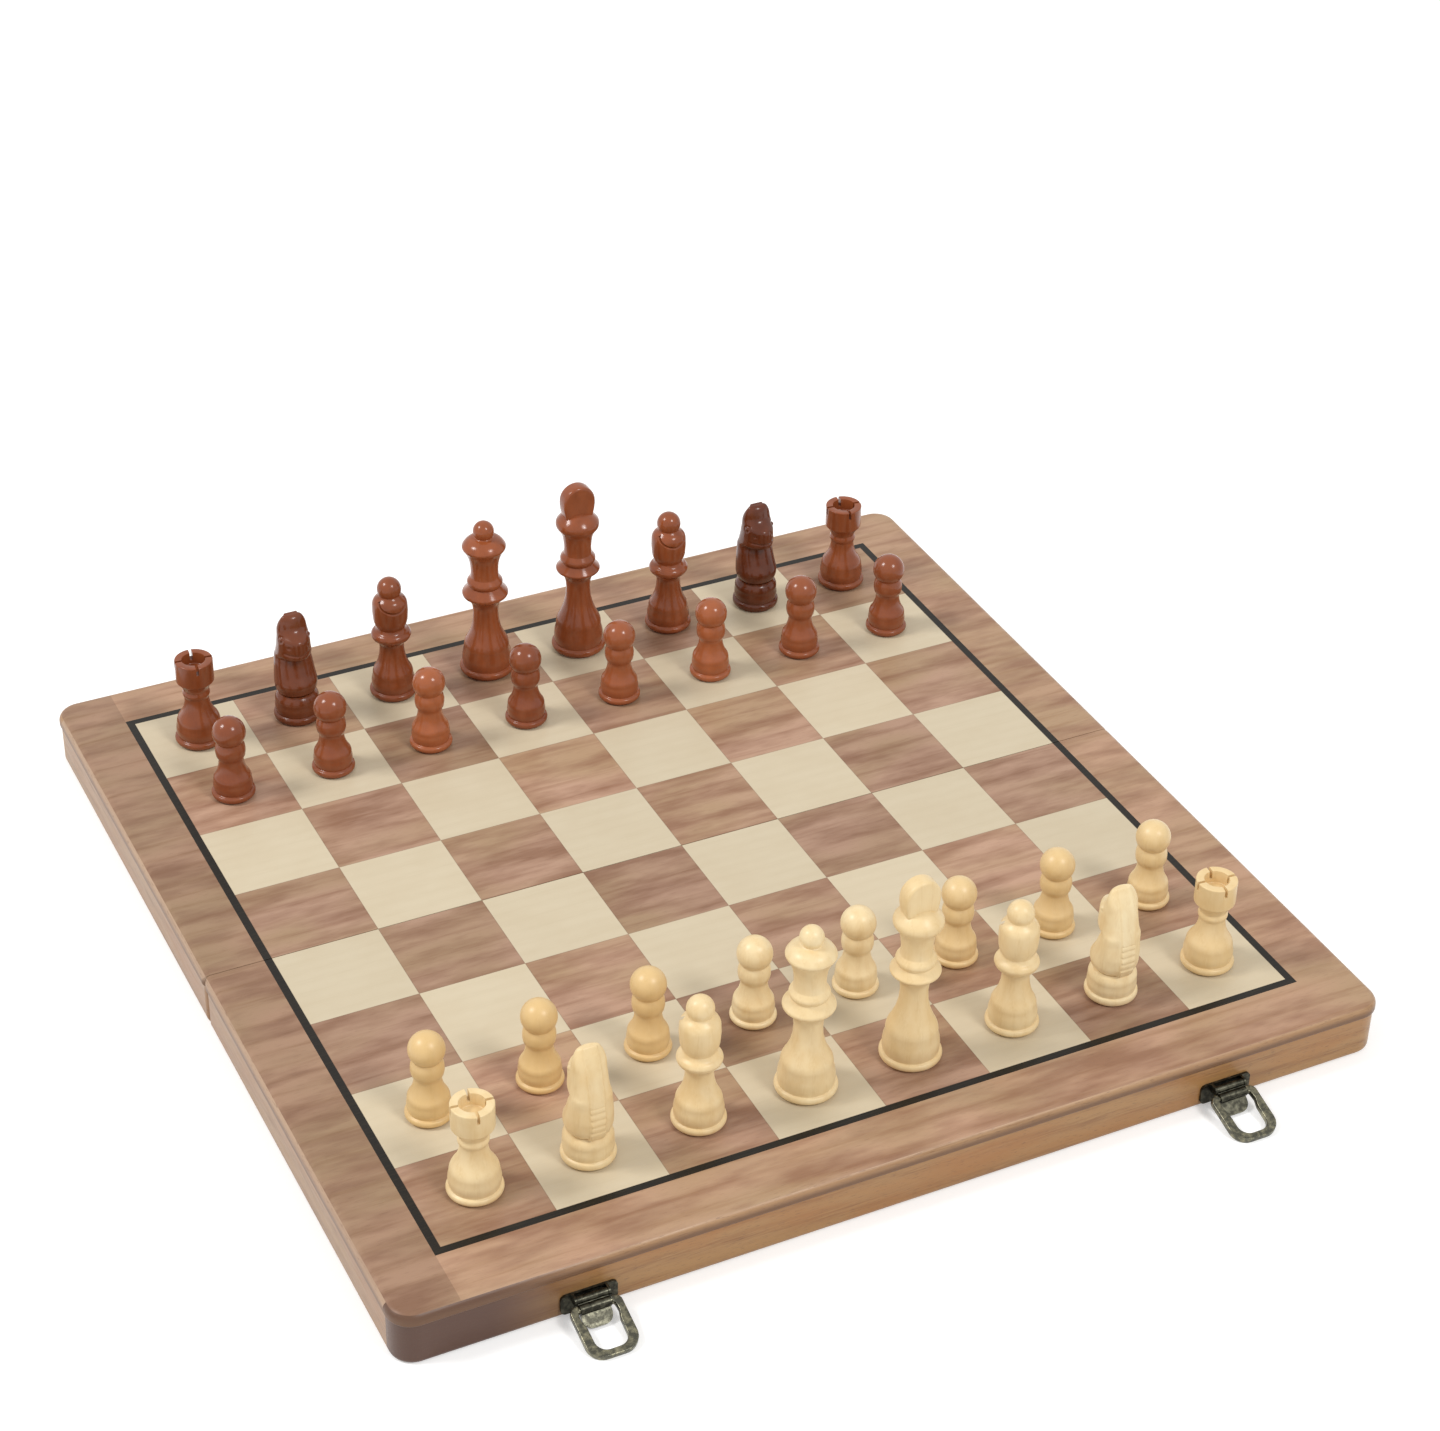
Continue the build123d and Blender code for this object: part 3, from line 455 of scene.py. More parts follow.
# %% Red brown lacquered wood
dark_officers = turned_wood("deep_stained_wood_gloss_lacquer", ("a05630", "52240f", "723a20"),
                            "4a2211", 0.12, 0.19, 1.42)
dark_pawns = turned_wood("red_stained_wood_gloss_lacquer", ("aa6039", "763a20", "90502e"),
                         "5a2a18", 0.12, 0.19, 1.42)

# %% [markdown]
# The fittings are pressed steel with a dark bronze plating. Tumbling rubs it lighter in places,
# so the colour goes between a blackish olive and a dull brass, and the polish varies with it.
# Patches of two tones also give the paler bronze of the loops, the antiqued brass of the screws,
# and the cold rolled steel of the sheets under the veneer.


# %% Bronze plating, antiqued brass and steel
def plated_metal(name, dark, rubbed, rough_low, rough_high):
    """Metal that is lighter in patches of about 2 mm."""
    material, tree = new_material(name)
    place = add(tree, "ShaderNodeTexCoord").outputs["Object"]
    patch = streaks(tree, place, 2.0, 2.0, 0.42, 0.68)
    grit = streaks(tree, place, 0.4, 0.4, 0.35, 0.75)
    tone = add(tree, "ShaderNodeMix", {0: patch, 6: colour(dark), 7: colour(rubbed)},
               data_type="RGBA").outputs[2]
    gloss = add(tree, "ShaderNodeMapRange", {"Value": grit, "To Min": rough_low,
                                             "To Max": rough_high}).outputs[0]
    bump = add(tree, "ShaderNodeBump", {"Height": grit, "Strength": 0.05, "Distance": 0.1 * MM})
    shader = add(tree, "ShaderNodeBsdfPrincipled",
                 {"Base Color": tone, "Metallic": 1.0, "Roughness": gloss,
                  "Normal": bump.outputs[0]})
    add(tree, "ShaderNodeOutputMaterial", {"Surface": shader.outputs[0]})
    print("made", name)
    return material


bronze = plated_metal("dark_bronze_plating", "33322b", "5b594c", 0.30, 0.45)
worn_bronze = plated_metal("worn_bronze_wire", "55544a", "8f8a72", 0.24, 0.38)
antique_brass = plated_metal("antiqued_brass", "6a5a36", "a08c58", 0.32, 0.48)
plain_steel = plated_metal("cold_rolled_steel", "8f9092", "a5a6a8", 0.38, 0.5)

# %% [markdown]
# Pressed wool felt lines the trays and covers the feet of the men. Its fibres scatter light, so
# it has no gloss, a little sheen, and a mottle about 0.6 mm across, drawn coarser than the
# fibres so that it shows.


# %% Felt
def pressed_felt(name, dark, pale):
    """Wool felt."""
    material, tree = new_material(name)
    place = add(tree, "ShaderNodeTexCoord").outputs["Object"]
    fibres = streaks(tree, place, 0.6, 0.9, 0.35, 0.70, detail=5.0)
    tone = add(tree, "ShaderNodeMix", {0: fibres, 6: colour(dark), 7: colour(pale)},
               data_type="RGBA").outputs[2]
    bump = add(tree, "ShaderNodeBump", {"Height": fibres, "Strength": 0.6, "Distance": 0.3 * MM})
    shader = add(tree, "ShaderNodeBsdfPrincipled",
                 {"Base Color": tone, "Roughness": 0.95, "Sheen Weight": 0.3,
                  "Normal": bump.outputs[0]})
    add(tree, "ShaderNodeOutputMaterial", {"Surface": shader.outputs[0]})
    print("made", name)
    return material


green_felt = pressed_felt("pressed_wool_felt", "17301f", "26492f")

# %% [markdown]
# The board's own solids already have the right shape, so they stay and only change their finish.

# %% Dress the board
FINISHES = {"panel_core": panel_edge, "steel_sheet": plain_steel,
            "border_veneer": walnut_border, "inlay_line": black_inlay,
            "walnut_squares": walnut_leaves, "maple_squares": maple_leaves,
            "rails": rail_wood, "felt_lining": green_felt, "screws": antique_brass}
FITTINGS = ("hinge_leaves_back", "hinge_leaves_front", "hinge_pins", "latch_plates",
            "latch_pivot_pins", "catch_plates", "latch_lever_left", "latch_lever_right")


def dress(node, material):
    """Gives a node of the frame another finish."""
    for place in frame["nodes"][node].material_slots:
        place.material = material


for half in ("back", "front"):
    for node, finish in FINISHES.items():
        dress(f"{half}_{node}", finish)
for node in FITTINGS:
    dress(node, bronze)
print("dressed", 2 * len(FINISHES) + len(FITTINGS), "nodes of the frame")

# %% [markdown]
# A turner works from a half outline, and so does this script. Each step of an outline is a
# radius, a height above the board, and how far the line that leads there bulges outwards. A dome
# is an arc that ends square to the axis. The arcs become short chords of about 10 degrees. The
# felt disc under the foot is a little smaller than the foot.

# %% Outlines of the men
DOME = "dome"
FELT_LOW = 0.1
FOOT = 0.8
FELT_INSET = 0.7
KING = [
    (10.7, FOOT, 0), (10.7, 3.2, 0.5), (9.9, 3.5, 0), (10.1, 4.3, 0), (9.3, 11.0, 0.4),
    (7.9, 16.5, 0.5), (4.9, 29.5, -0.8), (5.2, 32.5, 0), (8.7, 37.8, -0.7), (8.8, 39.0, 0.25),
    (6.4, 41.3, 0), (6.9, 42.0, 0), (6.9, 44.2, 0.35), (5.7, 45.6, 0), (5.9, 52.0, -0.25),
    (8.4, 57.8, -0.5), (8.4, 61.2, 0.5), (5.9, 63.6, 0), (0, 65.4, DOME),
]
QUEEN = [
    (10.7, FOOT, 0), (10.7, 3.2, 0.5), (9.9, 3.5, 0), (10.1, 4.3, 0), (9.3, 11.0, 0.4),
    (7.9, 16.0, 0.5), (5.1, 28.0, -0.8), (5.3, 30.5, 0), (9.0, 36.3, -0.8), (9.1, 38.0, 0.3),
    (6.4, 40.6, 0), (6.9, 41.3, 0), (6.9, 43.4, 0.35), (5.8, 44.8, 0), (5.7, 49.5, -0.15),
    (8.5, 57.8, -0.6), (8.6, 59.6, 0.35), (4.0, 62.8, 0.7), (3.5, 63.2, 0), (0, 70.0, DOME),
]
BISHOP = [
    (9.25, FOOT, 0), (9.25, 3.0, 0.45), (8.5, 3.3, 0), (8.7, 4.0, 0), (8.2, 9.0, 0.35),
    (7.0, 13.0, 0.4), (4.9, 22.0, -0.5), (5.1, 24.0, 0), (7.1, 26.6, -0.3), (7.8, 27.5, 0.2),
    (7.8, 29.1, 0.25), (6.6, 30.2, 0.15), (5.6, 31.8, -0.15), (7.0, 36.5, 0.35),
    (7.1, 42.3, 0.15), (5.1, 45.7, 0.5), (4.2, 46.6, 0), (0, 54.0, DOME),
]
ROOK = [
    (9.35, FOOT, 0), (9.35, 3.0, 0.45), (8.6, 3.3, 0), (8.8, 4.0, 0), (8.6, 8.6, 0.35),
    (7.2, 12.8, 0.4), (4.8, 21.0, -0.7), (5.2, 21.8, 0), (5.2, 23.6, 0.2), (4.9, 24.3, 0),
    (7.5, 28.6, -0.3), (7.5, 37.4, 0), (7.1, 37.9, 0.15), (4.6, 37.9, 0), (4.4, 33.4, 0),
    (4.0, 33.0, -0.1), (0, 33.0, 0),
]
PAWN = [
    (8.1, FOOT, 0), (8.1, 2.9, 0.4), (7.3, 3.2, 0), (7.5, 3.9, 0), (7.4, 7.6, 0.25),
    (6.5, 10.6, 0.35), (4.8, 16.8, -0.4), (5.6, 18.8, -0.15), (5.6, 23.4, 0.3), (4.9, 24.8, 0),
    (0, 35.5, DOME),
]
COLLAR = 12.8
KNIGHT_FOOT = [
    (9.3, FOOT, 0), (9.3, 3.2, 0.35), (8.6, 3.5, 0), (8.8, 4.2, 0), (8.7, 8.0, 0.25),
    (7.4, 12.2, 0.6), (7.4, COLLAR, 0), (0, COLLAR + 0.3, DOME),
]
CHORD_ANGLE = math.radians(10)


def arc_points(start, end, bulge):
    """Points after start on an arc to end that bulges to the right of travel."""
    span = end - start
    half = span.length / 2
    sweep = 4 * math.atan(abs(bulge) / half)
    radius = half / math.sin(sweep / 2)
    outward = Vector((span.y, -span.x)).normalized() * math.copysign(1, bulge)
    centre = (start + end) / 2 + outward * (abs(bulge) - radius)
    count = max(2, math.ceil(sweep / CHORD_ANGLE))
    turn = math.copysign(sweep / count, bulge)
    between = [centre + Matrix.Rotation(turn * i, 2) @ (start - centre) for i in range(1, count)]
    return between + [end]


def dome_points(start, top):
    """Points after start on a sphere's outline up to the axis."""
    centre = (top ** 2 - start.x ** 2 - start.y ** 2) / (2 * (top - start.y))
    low = math.atan2(start.y - centre, start.x)
    count = math.ceil((math.pi / 2 - low) / CHORD_ANGLE)
    angles = [low + (math.pi / 2 - low) * i / count for i in range(1, count + 1)]
    return [Vector(((top - centre) * math.cos(a), centre + (top - centre) * math.sin(a)))
            for a in angles]


def on_felt(steps):
    """A man's outline with the felt disc below his foot."""
    felt = steps[0][0] - FELT_INSET
    return [(felt, FELT_LOW, 0), (felt, FOOT, 0)] + steps


def outline_points(steps):
    """The whole outline, from the axis out, up and back to the axis."""
    points = [Vector((0, steps[0][1]))]
    for across, height, bulge in steps:
        end = Vector((across, height))
        if bulge == DOME:
            points += dome_points(points[-1], height)
        elif bulge:
            points += arc_points(points[-1], end, bulge)
        else:
            points.append(end)
    return points


print("points in the king's outline:", len(outline_points(KING)))

# %% [markdown]
# The outline is spun a full turn. Where two chords meet at a sharp angle, the turner's tool left
# an edge, and sandpaper broke it: those rings of edges get a small bevel, which catches the light
# as a thin line. Faces below the foot's edge are felt, the second material of the piece.

# %% Turning
TURNS = 64
SHARP = math.radians(24)
BROKEN_EDGE = 0.18
HAIR = 1e-4


def rounded(bm, edges, offset, segments):
    """Rounds edges off, each by a strip of a few faces."""
    bmesh.ops.bevel(bm, geom=edges, offset=offset, segments=segments, profile=0.5,
                    affect="EDGES", material=-1, clamp_overlap=True)


def turned(steps):
    """A mesh turned from an outline, in millimetres, standing on the board at the origin."""
    bm = bmesh.new()
    dots = [bm.verts.new((p.x, 0, p.y)) for p in outline_points(steps)]
    for first, second in zip(dots, dots[1:]):
        bm.edges.new((first, second))
    bmesh.ops.spin(bm, geom=bm.verts[:] + bm.edges[:], cent=(0, 0, 0), axis=(0, 0, 1),
                   angle=math.tau, steps=TURNS, use_merge=True)
    bmesh.ops.remove_doubles(bm, verts=bm.verts, dist=HAIR)
    bmesh.ops.recalc_face_normals(bm, faces=bm.faces)
    rings = [e for e in bm.edges if e.is_manifold and e.calc_face_angle() > SHARP
             and abs(e.verts[0].co.z - e.verts[1].co.z) < HAIR]
    rounded(bm, rings, BROKEN_EDGE, 2)
    bmesh.ops.recalc_face_normals(bm, faces=bm.faces)
    for face in bm.faces:
        face.smooth = True
        face.material_index = 1 if face.calc_center_median().z < FOOT - HAIR else 0
    return bm


def scratch_object(name, bm):
    """An object made of a bmesh, not yet one of the pieces."""
    mesh = bpy.data.meshes.new(name)
    bm.to_mesh(mesh)
    bm.free()
    item = bpy.data.objects.new(name, mesh)
    bpy.context.collection.objects.link(item)
    return item


def settle(item):
    """Makes what an item's modifiers give its own mesh."""
    graph = bpy.context.evaluated_depsgraph_get()
    mesh = bpy.data.meshes.new_from_object(item.evaluated_get(graph))
    item.modifiers.clear()
    item.data = mesh
    return item


def combine(item, tool, operation):
    """Cuts or joins item with tool, and removes the tool."""
    modifier = item.modifiers.new("cut", "BOOLEAN")
    modifier.operation = operation
    modifier.solver = "EXACT"
    modifier.object = tool
    settle(item)
    bpy.data.objects.remove(tool, do_unlink=True)
    return item


pawn_shape = scratch_object("pawn_shape", turned(on_felt(PAWN)))
queen_shape = scratch_object("queen_shape", turned(on_felt(QUEEN)))
print("faces in a pawn:", len(pawn_shape.data.polygons))

# %% [markdown]
# The king's finial is a plain block with a round top. Its front outline is one face, pulled to its
# thickness, and the rims of its two flat sides are rounded over.

# %% The king's finial
FINIAL = [(5.9, 62.6, 0), (6.0, 64.0, 0), (6.8, 68.4, 0.1), (6.7, 71.2, 0.05), (0, 77.0, DOME)]
FINIAL_THICK = 6.2
FINIAL_ROUNDING = 1.1
RIM = math.radians(60)


def plate_from(points, thickness):
    """A flat outline in the XZ plane pulled out along Y, half to each side."""
    bm = bmesh.new()
    dots = [bm.verts.new((p.x, -thickness / 2, p.y)) for p in points]
    face = bm.faces.new(dots)
    pulled = bmesh.ops.extrude_face_region(bm, geom=[face])["geom"]
    moved = [g for g in pulled if isinstance(g, bmesh.types.BMVert)]
    bmesh.ops.translate(bm, verts=moved, vec=(0, thickness, 0))
    bmesh.ops.recalc_face_normals(bm, faces=bm.faces)
    return bm


def king_mesh():
    """The turned king with his finial."""
    right = [Vector((0, FINIAL[0][1]))] + outline_points(FINIAL)[1:]
    left = [Vector((-p.x, p.y)) for p in reversed(right[1:-1])]
    bm = plate_from(right + left, FINIAL_THICK)
    rounded(bm, [e for e in bm.edges if e.calc_face_angle(0) > RIM], FINIAL_ROUNDING, 4)
    for face in bm.faces:
        face.smooth = True
    finial = scratch_object("finial", bm)
    return combine(scratch_object("king_shape", turned(on_felt(KING))), finial, "UNION")


king_shape = king_mesh()
print("faces in the king:", len(king_shape.data.polygons))

# %% [markdown]
# A saw cut is a thin block taken away. The rook's turret gets two crossed cuts, which make four
# slots in its wall, and the bishop's mitre one slanting cut.


# %% Saw cuts
TURRET_CUT = {"size": (24, 1.1, 4.0), "place": (0, 0, 36.6), "turn_axis": "Z"}
MITRE_CUT = {"size": (16, 9.0, 1.0), "place": (0, 5.4, 42.4), "turn_axis": "X"}


def saw_cut(degrees, size, place, turn_axis):
    """A thin block of the size, turned and put in place."""
    bm = bmesh.new()
    bmesh.ops.create_cube(bm, size=1.0)
    bmesh.ops.scale(bm, vec=size, verts=bm.verts)
    bmesh.ops.rotate(bm, verts=bm.verts, cent=(0, 0, 0),
                     matrix=Matrix.Rotation(math.radians(degrees), 3, turn_axis))
    bmesh.ops.translate(bm, verts=bm.verts, vec=place)
    return scratch_object("saw_cut", bm)


rook_shape = scratch_object("rook_shape", turned(on_felt(ROOK)))
for degrees in (84, 174):
    combine(rook_shape, saw_cut(degrees, **TURRET_CUT), "DIFFERENCE")
bishop_shape = scratch_object("bishop_shape", turned(on_felt(BISHOP)))
combine(bishop_shape, saw_cut(-40, **MITRE_CUT), "DIFFERENCE")
print("faces in a rook and a bishop:", len(rook_shape.data.polygons),
      len(bishop_shape.data.polygons))

# %% [markdown]
# The knight's head is carved from the same round billet. Two views say how: the side view gives
# the face and the neck at each height, and the front view gives half the width. Between them each
# level is a rounded section, nearly a circle at the chest and blunter at the muzzle, which closes
# in towards its tip. The levels are rings of edges, and each is bridged to the next.

# %% The knight's head, roughed out
FACE_VIEW = [(7.4, COLLAR, 0), (8.6, 18.0, 0.3), (3.6, 28.6, -0.6), (3.9, 29.6, 0), (7.8, 30.2, 0),
             (8.7, 31.4, 0.2), (8.4, 37.6, 0.1), (7.2, 39.2, 0.3), (3.2, 42.0, -0.3),
             (2.2, 46.4, 0.1), (-1.0, 48.2, 0.5)]
NECK_VIEW = [(7.4, COLLAR, 0), (8.6, 16.0, 0.1), (8.9, 20.0, 0), (5.8, 38.0, 0.45),
             (1.0, 48.2, 0.5)]
FRONT_VIEW = [(7.4, COLLAR, 0), (8.6, 17.5, 0.4), (6.7, 34.0, 0.1), (6.2, 41.0, 0.1),
              (4.6, 46.6, 0.4), (2.6, 48.6, 0.2)]
LEVEL_STEP = 0.25
RING = 48
CHIN_LOW, CHIN_HIGH = 26.0, 31.0
ROUND, BLUNT = 2.1, 2.8
MUZZLE_CLOSING = 0.5


def ramp(value, low, high):
    """0 up to low, 1 from high, and even between them."""
    return min(1.0, max(0.0, (value - low) / (high - low)))


def reach(points, height):
    """How far out an outline is at a height."""
    for low, high in zip(points, points[1:]):
        if low.y <= height <= high.y:
            return low.x + (high.x - low.x) * (height - low.y) / (high.y - low.y)
    return points[-1].x


def head_section(views, height):
    """The ring of points round one level of the head, which faces +Y."""
    face, neck, half = [reach(view, height) for view in views]
    upper = ramp(height, CHIN_LOW, CHIN_HIGH)
    power = 2 / (ROUND + (BLUNT - ROUND) * upper)
    middle, depth = (face - neck) / 2, (face + neck) / 2
    ring = []
    for number in range(RING):
        across = math.cos(math.tau * number / RING)
        along = math.sin(math.tau * number / RING)
        width = half * (1 - MUZZLE_CLOSING * upper * max(0.0, along))
        ring.append((width * math.copysign(abs(across) ** power, across),
                     middle + depth * math.copysign(abs(along) ** power, along), height))
    return ring


def rough_head():
    """The head's levels, bridged and closed."""
    views = [outline_points(view)[1:] for view in (FACE_VIEW, NECK_VIEW, FRONT_VIEW)]
    count = int((FACE_VIEW[-1][1] - COLLAR) / LEVEL_STEP)
    bm = bmesh.new()
    rings = []
    for level in range(count):
        dots = [bm.verts.new(p) for p in head_section(views, COLLAR + level * LEVEL_STEP)]
        rings.append([bm.edges.new((dots[i - 1], dots[i])) for i in range(RING)])
    for low, high in zip(rings, rings[1:]):
        bmesh.ops.bridge_loops(bm, edges=low + high)
    bmesh.ops.holes_fill(bm, edges=rings[0] + rings[-1])
    bmesh.ops.recalc_face_normals(bm, faces=bm.faces)
    return scratch_object("head", bm)


head_shape = rough_head()
print("faces in the rough head:", len(head_shape.data.polygons))

# %% [markdown]
# The mane is a narrow strip that follows the back of the neck. The head is rasped before the mane
# is joined to it, and more finely after, which blends the two. A voxel remesh gives small even
# faces and some smoothing takes the creases out, and together they stand for the rasp.

# %% The mane and the rasp
MANE_HALF, MANE_DEPTH, MANE_TOP = 2.75, 0.5, 46.0
ROUGH_RASP = {"voxel": 0.4, "strokes": 10}
FINE_RASP = {"voxel": 0.3, "strokes": 12}


def mane_strip():
    """The strip of the mane: the neck's outline moved back, closed along the head's axis."""
    neck = [Vector((-p.x - MANE_DEPTH, p.y)) for p in outline_points(NECK_VIEW)[1:]]
    strip = plate_from([Vector((0, MANE_TOP)), Vector((0, COLLAR))] + neck, 2 * MANE_HALF)
    bmesh.ops.rotate(strip, verts=strip.verts, cent=(0, 0, 0),
                     matrix=Matrix.Rotation(math.radians(90), 3, "Z"))
    return scratch_object("mane", strip)


def rasped(item, voxel, strokes):
    """Remeshes a rough shape evenly and smooths it."""
    remesh = item.modifiers.new("rasp", "REMESH")
    remesh.mode = "VOXEL"
    remesh.voxel_size = voxel
    soften = item.modifiers.new("sandpaper", "SMOOTH")
    soften.iterations = strokes
    return settle(item)


rasped(head_shape, **ROUGH_RASP)
combine(head_shape, mane_strip(), "UNION")
rasped(head_shape, **FINE_RASP)
print("faces in the rasped head:", len(head_shape.data.polygons))

# %% [markdown]
# The eyes, the nostrils, the mouth and the faint locks of the mane are pressed in last, by moving
# the vertices along their normals. Every cut is a smooth dent with a depth and a width. The
# eyeball stands out of a ring, which is the lid.

# %% The knife
FACE_LOW = 29.0
EYE, EYEBALL = Vector((2.2, 38.6)), {"depth": 0.35, "width": 0.9}
LID_RADIUS, LID = 1.2, {"depth": 0.3, "width": 0.6}
NOSTRIL, HOLE = Vector((6.2, 36.2)), {"depth": 0.35, "width": 0.9}
MOUTH, LIPS = 33.0, {"depth": 0.3, "width": 0.6}
LOCKS_LOW, LOCKS_HIGH, LOCK_PITCH = 15.5, 27.0, 2.6
LOCK = {"depth": 0.25, "width": 0.9}


def dent(distance, depth, width):
    """The depth at no distance, falling smoothly to 0 at the width."""
    return depth * max(0.0, 1 - (distance / width) ** 2) ** 2


def carve(spot, normal):
    """How far the knife moves a point of the rasped head in or out along its normal."""
    side = Vector((spot.y, spot.z))
    move = 0.0
    if spot.z > FACE_LOW:
        sideways = ramp(abs(normal.x), 0.3, 0.6)
        forward = ramp(spot.y, 3.5, 5.5)
        eye = (side - EYE).length
        move += sideways * (dent(eye, **EYEBALL) - dent(abs(eye - LID_RADIUS), **LID))
        move -= sideways * dent((side - NOSTRIL).length, **HOLE)
        move -= forward * dent(abs(spot.z - MOUTH), **LIPS)
    if normal.y < -0.25 and abs(spot.x) < MANE_HALF and LOCKS_LOW < spot.z < LOCKS_HIGH:
        move -= dent(abs((spot.z - LOCKS_LOW) % LOCK_PITCH - LOCK_PITCH / 2), **LOCK)
    return move


moves = [carve(vertex.co, vertex.normal) for vertex in head_shape.data.vertices]
for vertex, move in zip(head_shape.data.vertices, moves):
    vertex.co += vertex.normal * move
for face in head_shape.data.polygons:
    face.use_smooth = True
knight_shape = scratch_object("knight_shape", turned(on_felt(KNIGHT_FOOT)))
print("deepest cut:", round(-min(moves), 2), "mm")

# %% [markdown]
# Each man is a copy of its shape, moved to the middle of its square and turned to face the other
# army. The move is made in the mesh, so the object itself stays at the origin as the frame's do.

# %% Set up the men
FILES = "abcdefgh"
OFFICERS = ("rook", "knight", "bishop", "queen", "king", "bishop", "knight", "rook")
SHAPES = {"king": [king_shape], "queen": [queen_shape], "bishop": [bishop_shape],
          "knight": [knight_shape, head_shape], "rook": [rook_shape], "pawn": [pawn_shape]}
ARMIES = {"white": (0, pale_wood, pale_wood, "pale_wood"),
          "black": (math.pi, dark_officers, dark_pawns, "red_brown_wood")}
BOARD_MIDDLE = 3.5
CREASE = math.radians(40)


def placed(name, shapes, turn, place):
    """One object made of shapes in millimetres, turned and moved to its place in its mesh."""
    bm = bmesh.new()
    for shape in shapes:
        bm.from_mesh(shape.data)
    bmesh.ops.rotate(bm, verts=bm.verts, cent=(0, 0, 0), matrix=turn)
    bmesh.ops.scale(bm, vec=(MM, MM, MM), verts=bm.verts)
    bmesh.ops.translate(bm, verts=bm.verts, vec=place)
    item = scratch_object(name, bm)
    item.data.set_sharp_from_angle(angle=CREASE)
    return item


def set_up(kind, node, file, rank):
    """Puts one man on his square, in place of his node."""
    facing, officer_wood, pawn_wood, finish = ARMIES[node.split("_")[0]]
    middle = ((file - BOARD_MIDDLE) * SQUARE, (rank - BOARD_MIDDLE) * SQUARE, BOARD_TOP)
    man = placed(f"{node}_turned", SHAPES[kind], Matrix.Rotation(facing, 3, "Z"), middle)
    man.data.materials.clear()
    man.data.materials.append(pawn_wood if kind == "pawn" else officer_wood)
    man.data.materials.append(green_felt)
    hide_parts(node)
    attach(man, node)
    return man


men = []
for army, (home, front) in {"white": (0, 1), "black": (7, 6)}.items():
    for file, kind in enumerate(OFFICERS):
        letter = "" if kind in ("king", "queen") else f"_{FILES[file]}"
        men.append(set_up(kind, f"{army}_{kind}{letter}", file, home))
        men.append(set_up("pawn", f"{army}_pawn_{FILES[file]}", file, front))
for shapes in SHAPES.values():
    for shape in shapes:
        bpy.data.objects.remove(shape, do_unlink=True)
print("men set up:", len(men))

# %% [markdown]
# Each latch loop is stamped from thick bronze and tumbled until its edges are round. It is broader
# at the sides than at the tip, which has to fit the catch. Its outline is drawn flat from the
# pivot at the origin, pulled to its thickness, rounded over, and laid in its slope on the table.

# %% Latch loops
LOOP_OUTER = [(5.7, -1.2, 0), (6.5, -1.2, 0), (9.2, 1.5, 0.8), (9.2, 13.3, 0), (3.2, 19.3, 1.75)]
LOOP_INNER = [(1.8, 16.9, 0), (5.8, 12.9, -1.15), (5.9, 7.5, 0), (6.7, 4.5, 0), (6.4, 1.2, -0.1),
              (5.7, 1.2, 0)]
LOOP_THICK = 2.4
LOOP_REACH = 18.1
LOOP_ROUNDING = 0.95
PIN_RADIUS, PIN_LENGTH, PIN_MIDDLE = 1.15, 3.6, 5.0
TABLE_GAP = 0.1


def loop_outline():
    """The loop's outline in its own plane: up the outside, down the other side, and back inside."""
    outer = outline_points(LOOP_OUTER)[1:]
    inner = outline_points(LOOP_INNER)[1:]
    left_outer = [Vector((-p.x, p.y)) for p in reversed(outer)]
    left_inner = [Vector((-p.x, p.y)) for p in reversed(inner)]
    return outer + left_outer + left_inner + inner


def loop_mesh():
    """The loop with the two pins that sit in the lever's tube, in millimetres at the origin."""
    bm = plate_from(loop_outline(), LOOP_THICK)
    rounded(bm, [e for e in bm.edges if e.calc_face_angle(0) > RIM], LOOP_ROUNDING, 5)
    loop = scratch_object("loop_shape", bm)
    for side in (-1, 1):
        pin = bmesh.new()
        bmesh.ops.create_cone(pin, cap_ends=True, segments=32, radius1=PIN_RADIUS,
                              radius2=PIN_RADIUS, depth=PIN_LENGTH)
        bmesh.ops.rotate(pin, verts=pin.verts, cent=(0, 0, 0),
                         matrix=Matrix.Rotation(math.radians(90), 3, "Y"))
        bmesh.ops.translate(pin, verts=pin.verts, vec=(side * PIN_MIDDLE, 0, 0))
        combine(loop, scratch_object("loop_pin", pin), "UNION")
    for face in loop.data.polygons:
        face.use_smooth = True
    return loop


def fit_loop(shape, word):
    """Places one loop on its pivot, sloping down to the table."""
    swing = next(j for j in frame["joints"] if j["name"] == f"latch_loop_{word}_swing")
    pivot = Vector(swing["pos_m"])
    slope = math.asin((pivot.z / MM - LOOP_THICK / 2 - TABLE_GAP) / LOOP_REACH)
    turn = Matrix.Rotation(math.radians(90) + slope, 3, "X")
    loop = placed(f"latch_loop_{word}_stamped", [shape], turn, pivot)
    loop.data.materials.append(worn_bronze)
    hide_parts(f"latch_loop_{word}")
    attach(loop, f"latch_loop_{word}")
    return loop


loop_shape = loop_mesh()
loops = [fit_loop(loop_shape, word) for word in ("left", "right")]
bpy.data.objects.remove(loop_shape, do_unlink=True)
print("faces in a loop:", len(loops[0].data.polygons))

# %% [markdown]
# The floor is a wide pale sheet. To the camera it glows a little, so that it comes out white
# where no shadow falls, and it still takes the object's shadow. Gloss sees the same white, so
# the lacquer and the metal reflect it.

# %% Floor
FLOOR_HALF = 6.0


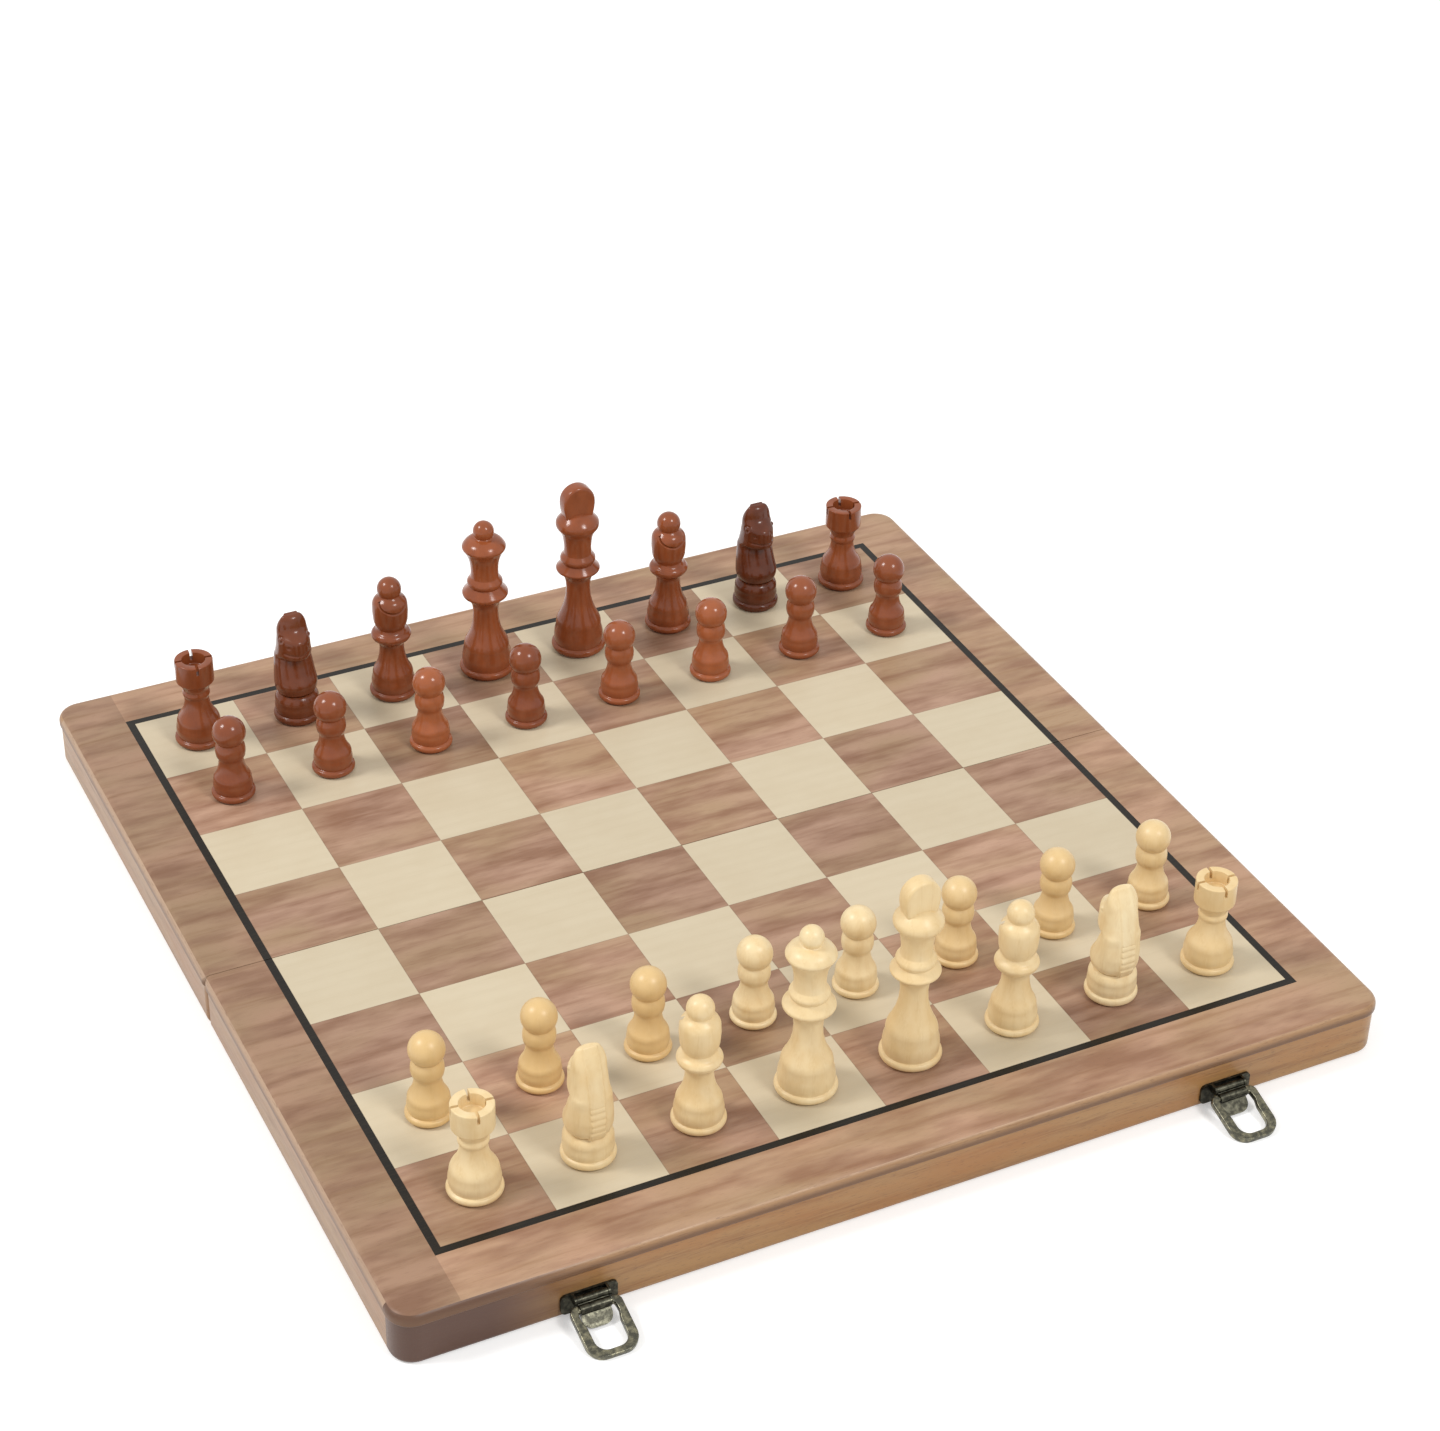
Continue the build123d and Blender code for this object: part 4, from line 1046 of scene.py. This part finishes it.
def looked_at(tree):
    """1 where the camera looks, also by way of gloss or glass, and 0 for light that fills."""
    rays = add(tree, "ShaderNodeLightPath")
    seen = add(tree, "ShaderNodeMath", {0: rays.outputs["Is Camera Ray"],
                                        1: rays.outputs["Is Glossy Ray"]}, operation="MAXIMUM")
    return add(tree, "ShaderNodeMath",
               {0: seen.outputs[0], 1: rays.outputs["Is Transmission Ray"]},
               operation="MAXIMUM").outputs[0]


floor_mesh = bmesh.new()
bmesh.ops.create_grid(floor_mesh, x_segments=1, y_segments=1, size=FLOOR_HALF)
floor = scratch_object("floor", floor_mesh)
floor_finish, tree = new_material("pale_floor")
matt = add(tree, "ShaderNodeBsdfDiffuse", {"Color": colour("e9e9e8")})
glow = add(tree, "ShaderNodeEmission", {"Color": colour("ffffff"), "Strength": 0.35})
bright = add(tree, "ShaderNodeAddShader", {0: matt.outputs[0], 1: glow.outputs[0]})
choice = add(tree, "ShaderNodeMixShader", {0: looked_at(tree), 1: matt.outputs[0],
                                           2: bright.outputs[0]})
add(tree, "ShaderNodeOutputMaterial", {"Surface": choice.outputs[0]})
floor.data.materials.append(floor_finish)
print("floor is", 2 * FLOOR_HALF, "m wide")

# %% [markdown]
# The lacquered men each show two small square highlights, one on the left and one on the right,
# so the studio had two softboxes above head height, one well to the left and one in front on the
# right. A white room fills the shadows.

# %% Lights
WORLD_FILL = 0.62
SOFTBOXES = {"left_softbox": ((-1.90, 0.55, 2.30), 0.75, 42.0),
             "right_softbox": ((0.85, -2.00, 2.40), 0.75, 36.0)}
for name, (place, size, watts) in SOFTBOXES.items():
    lamp = bpy.data.lights.new(name, "AREA")
    lamp.shape = "SQUARE"
    lamp.size = size
    lamp.energy = watts
    light = bpy.data.objects.new(name, lamp)
    light.location = place
    light.rotation_mode = "QUATERNION"
    light.rotation_quaternion = (-Vector(place)).to_track_quat("-Z", "Y")
    bpy.context.collection.objects.link(light)
world = bpy.data.worlds.new("white_room")
bpy.context.scene.world = world
world.use_nodes = True
tree = world.node_tree
tree.nodes.clear()
fill = add(tree, "ShaderNodeBackground", {"Color": colour("ffffff"), "Strength": WORLD_FILL})
white = add(tree, "ShaderNodeBackground", {"Color": colour("ffffff"), "Strength": 1.0})
choice = add(tree, "ShaderNodeMixShader", {0: looked_at(tree), 1: fill.outputs[0],
                                           2: white.outputs[0]})
add(tree, "ShaderNodeOutputWorld", {"Surface": choice.outputs[0]})
bpy.context.scene.view_settings.view_transform = "Standard"
print("lamps:", ", ".join(SOFTBOXES))

# %% [markdown]

# %% Finish
bpy.context.view_layer.update()
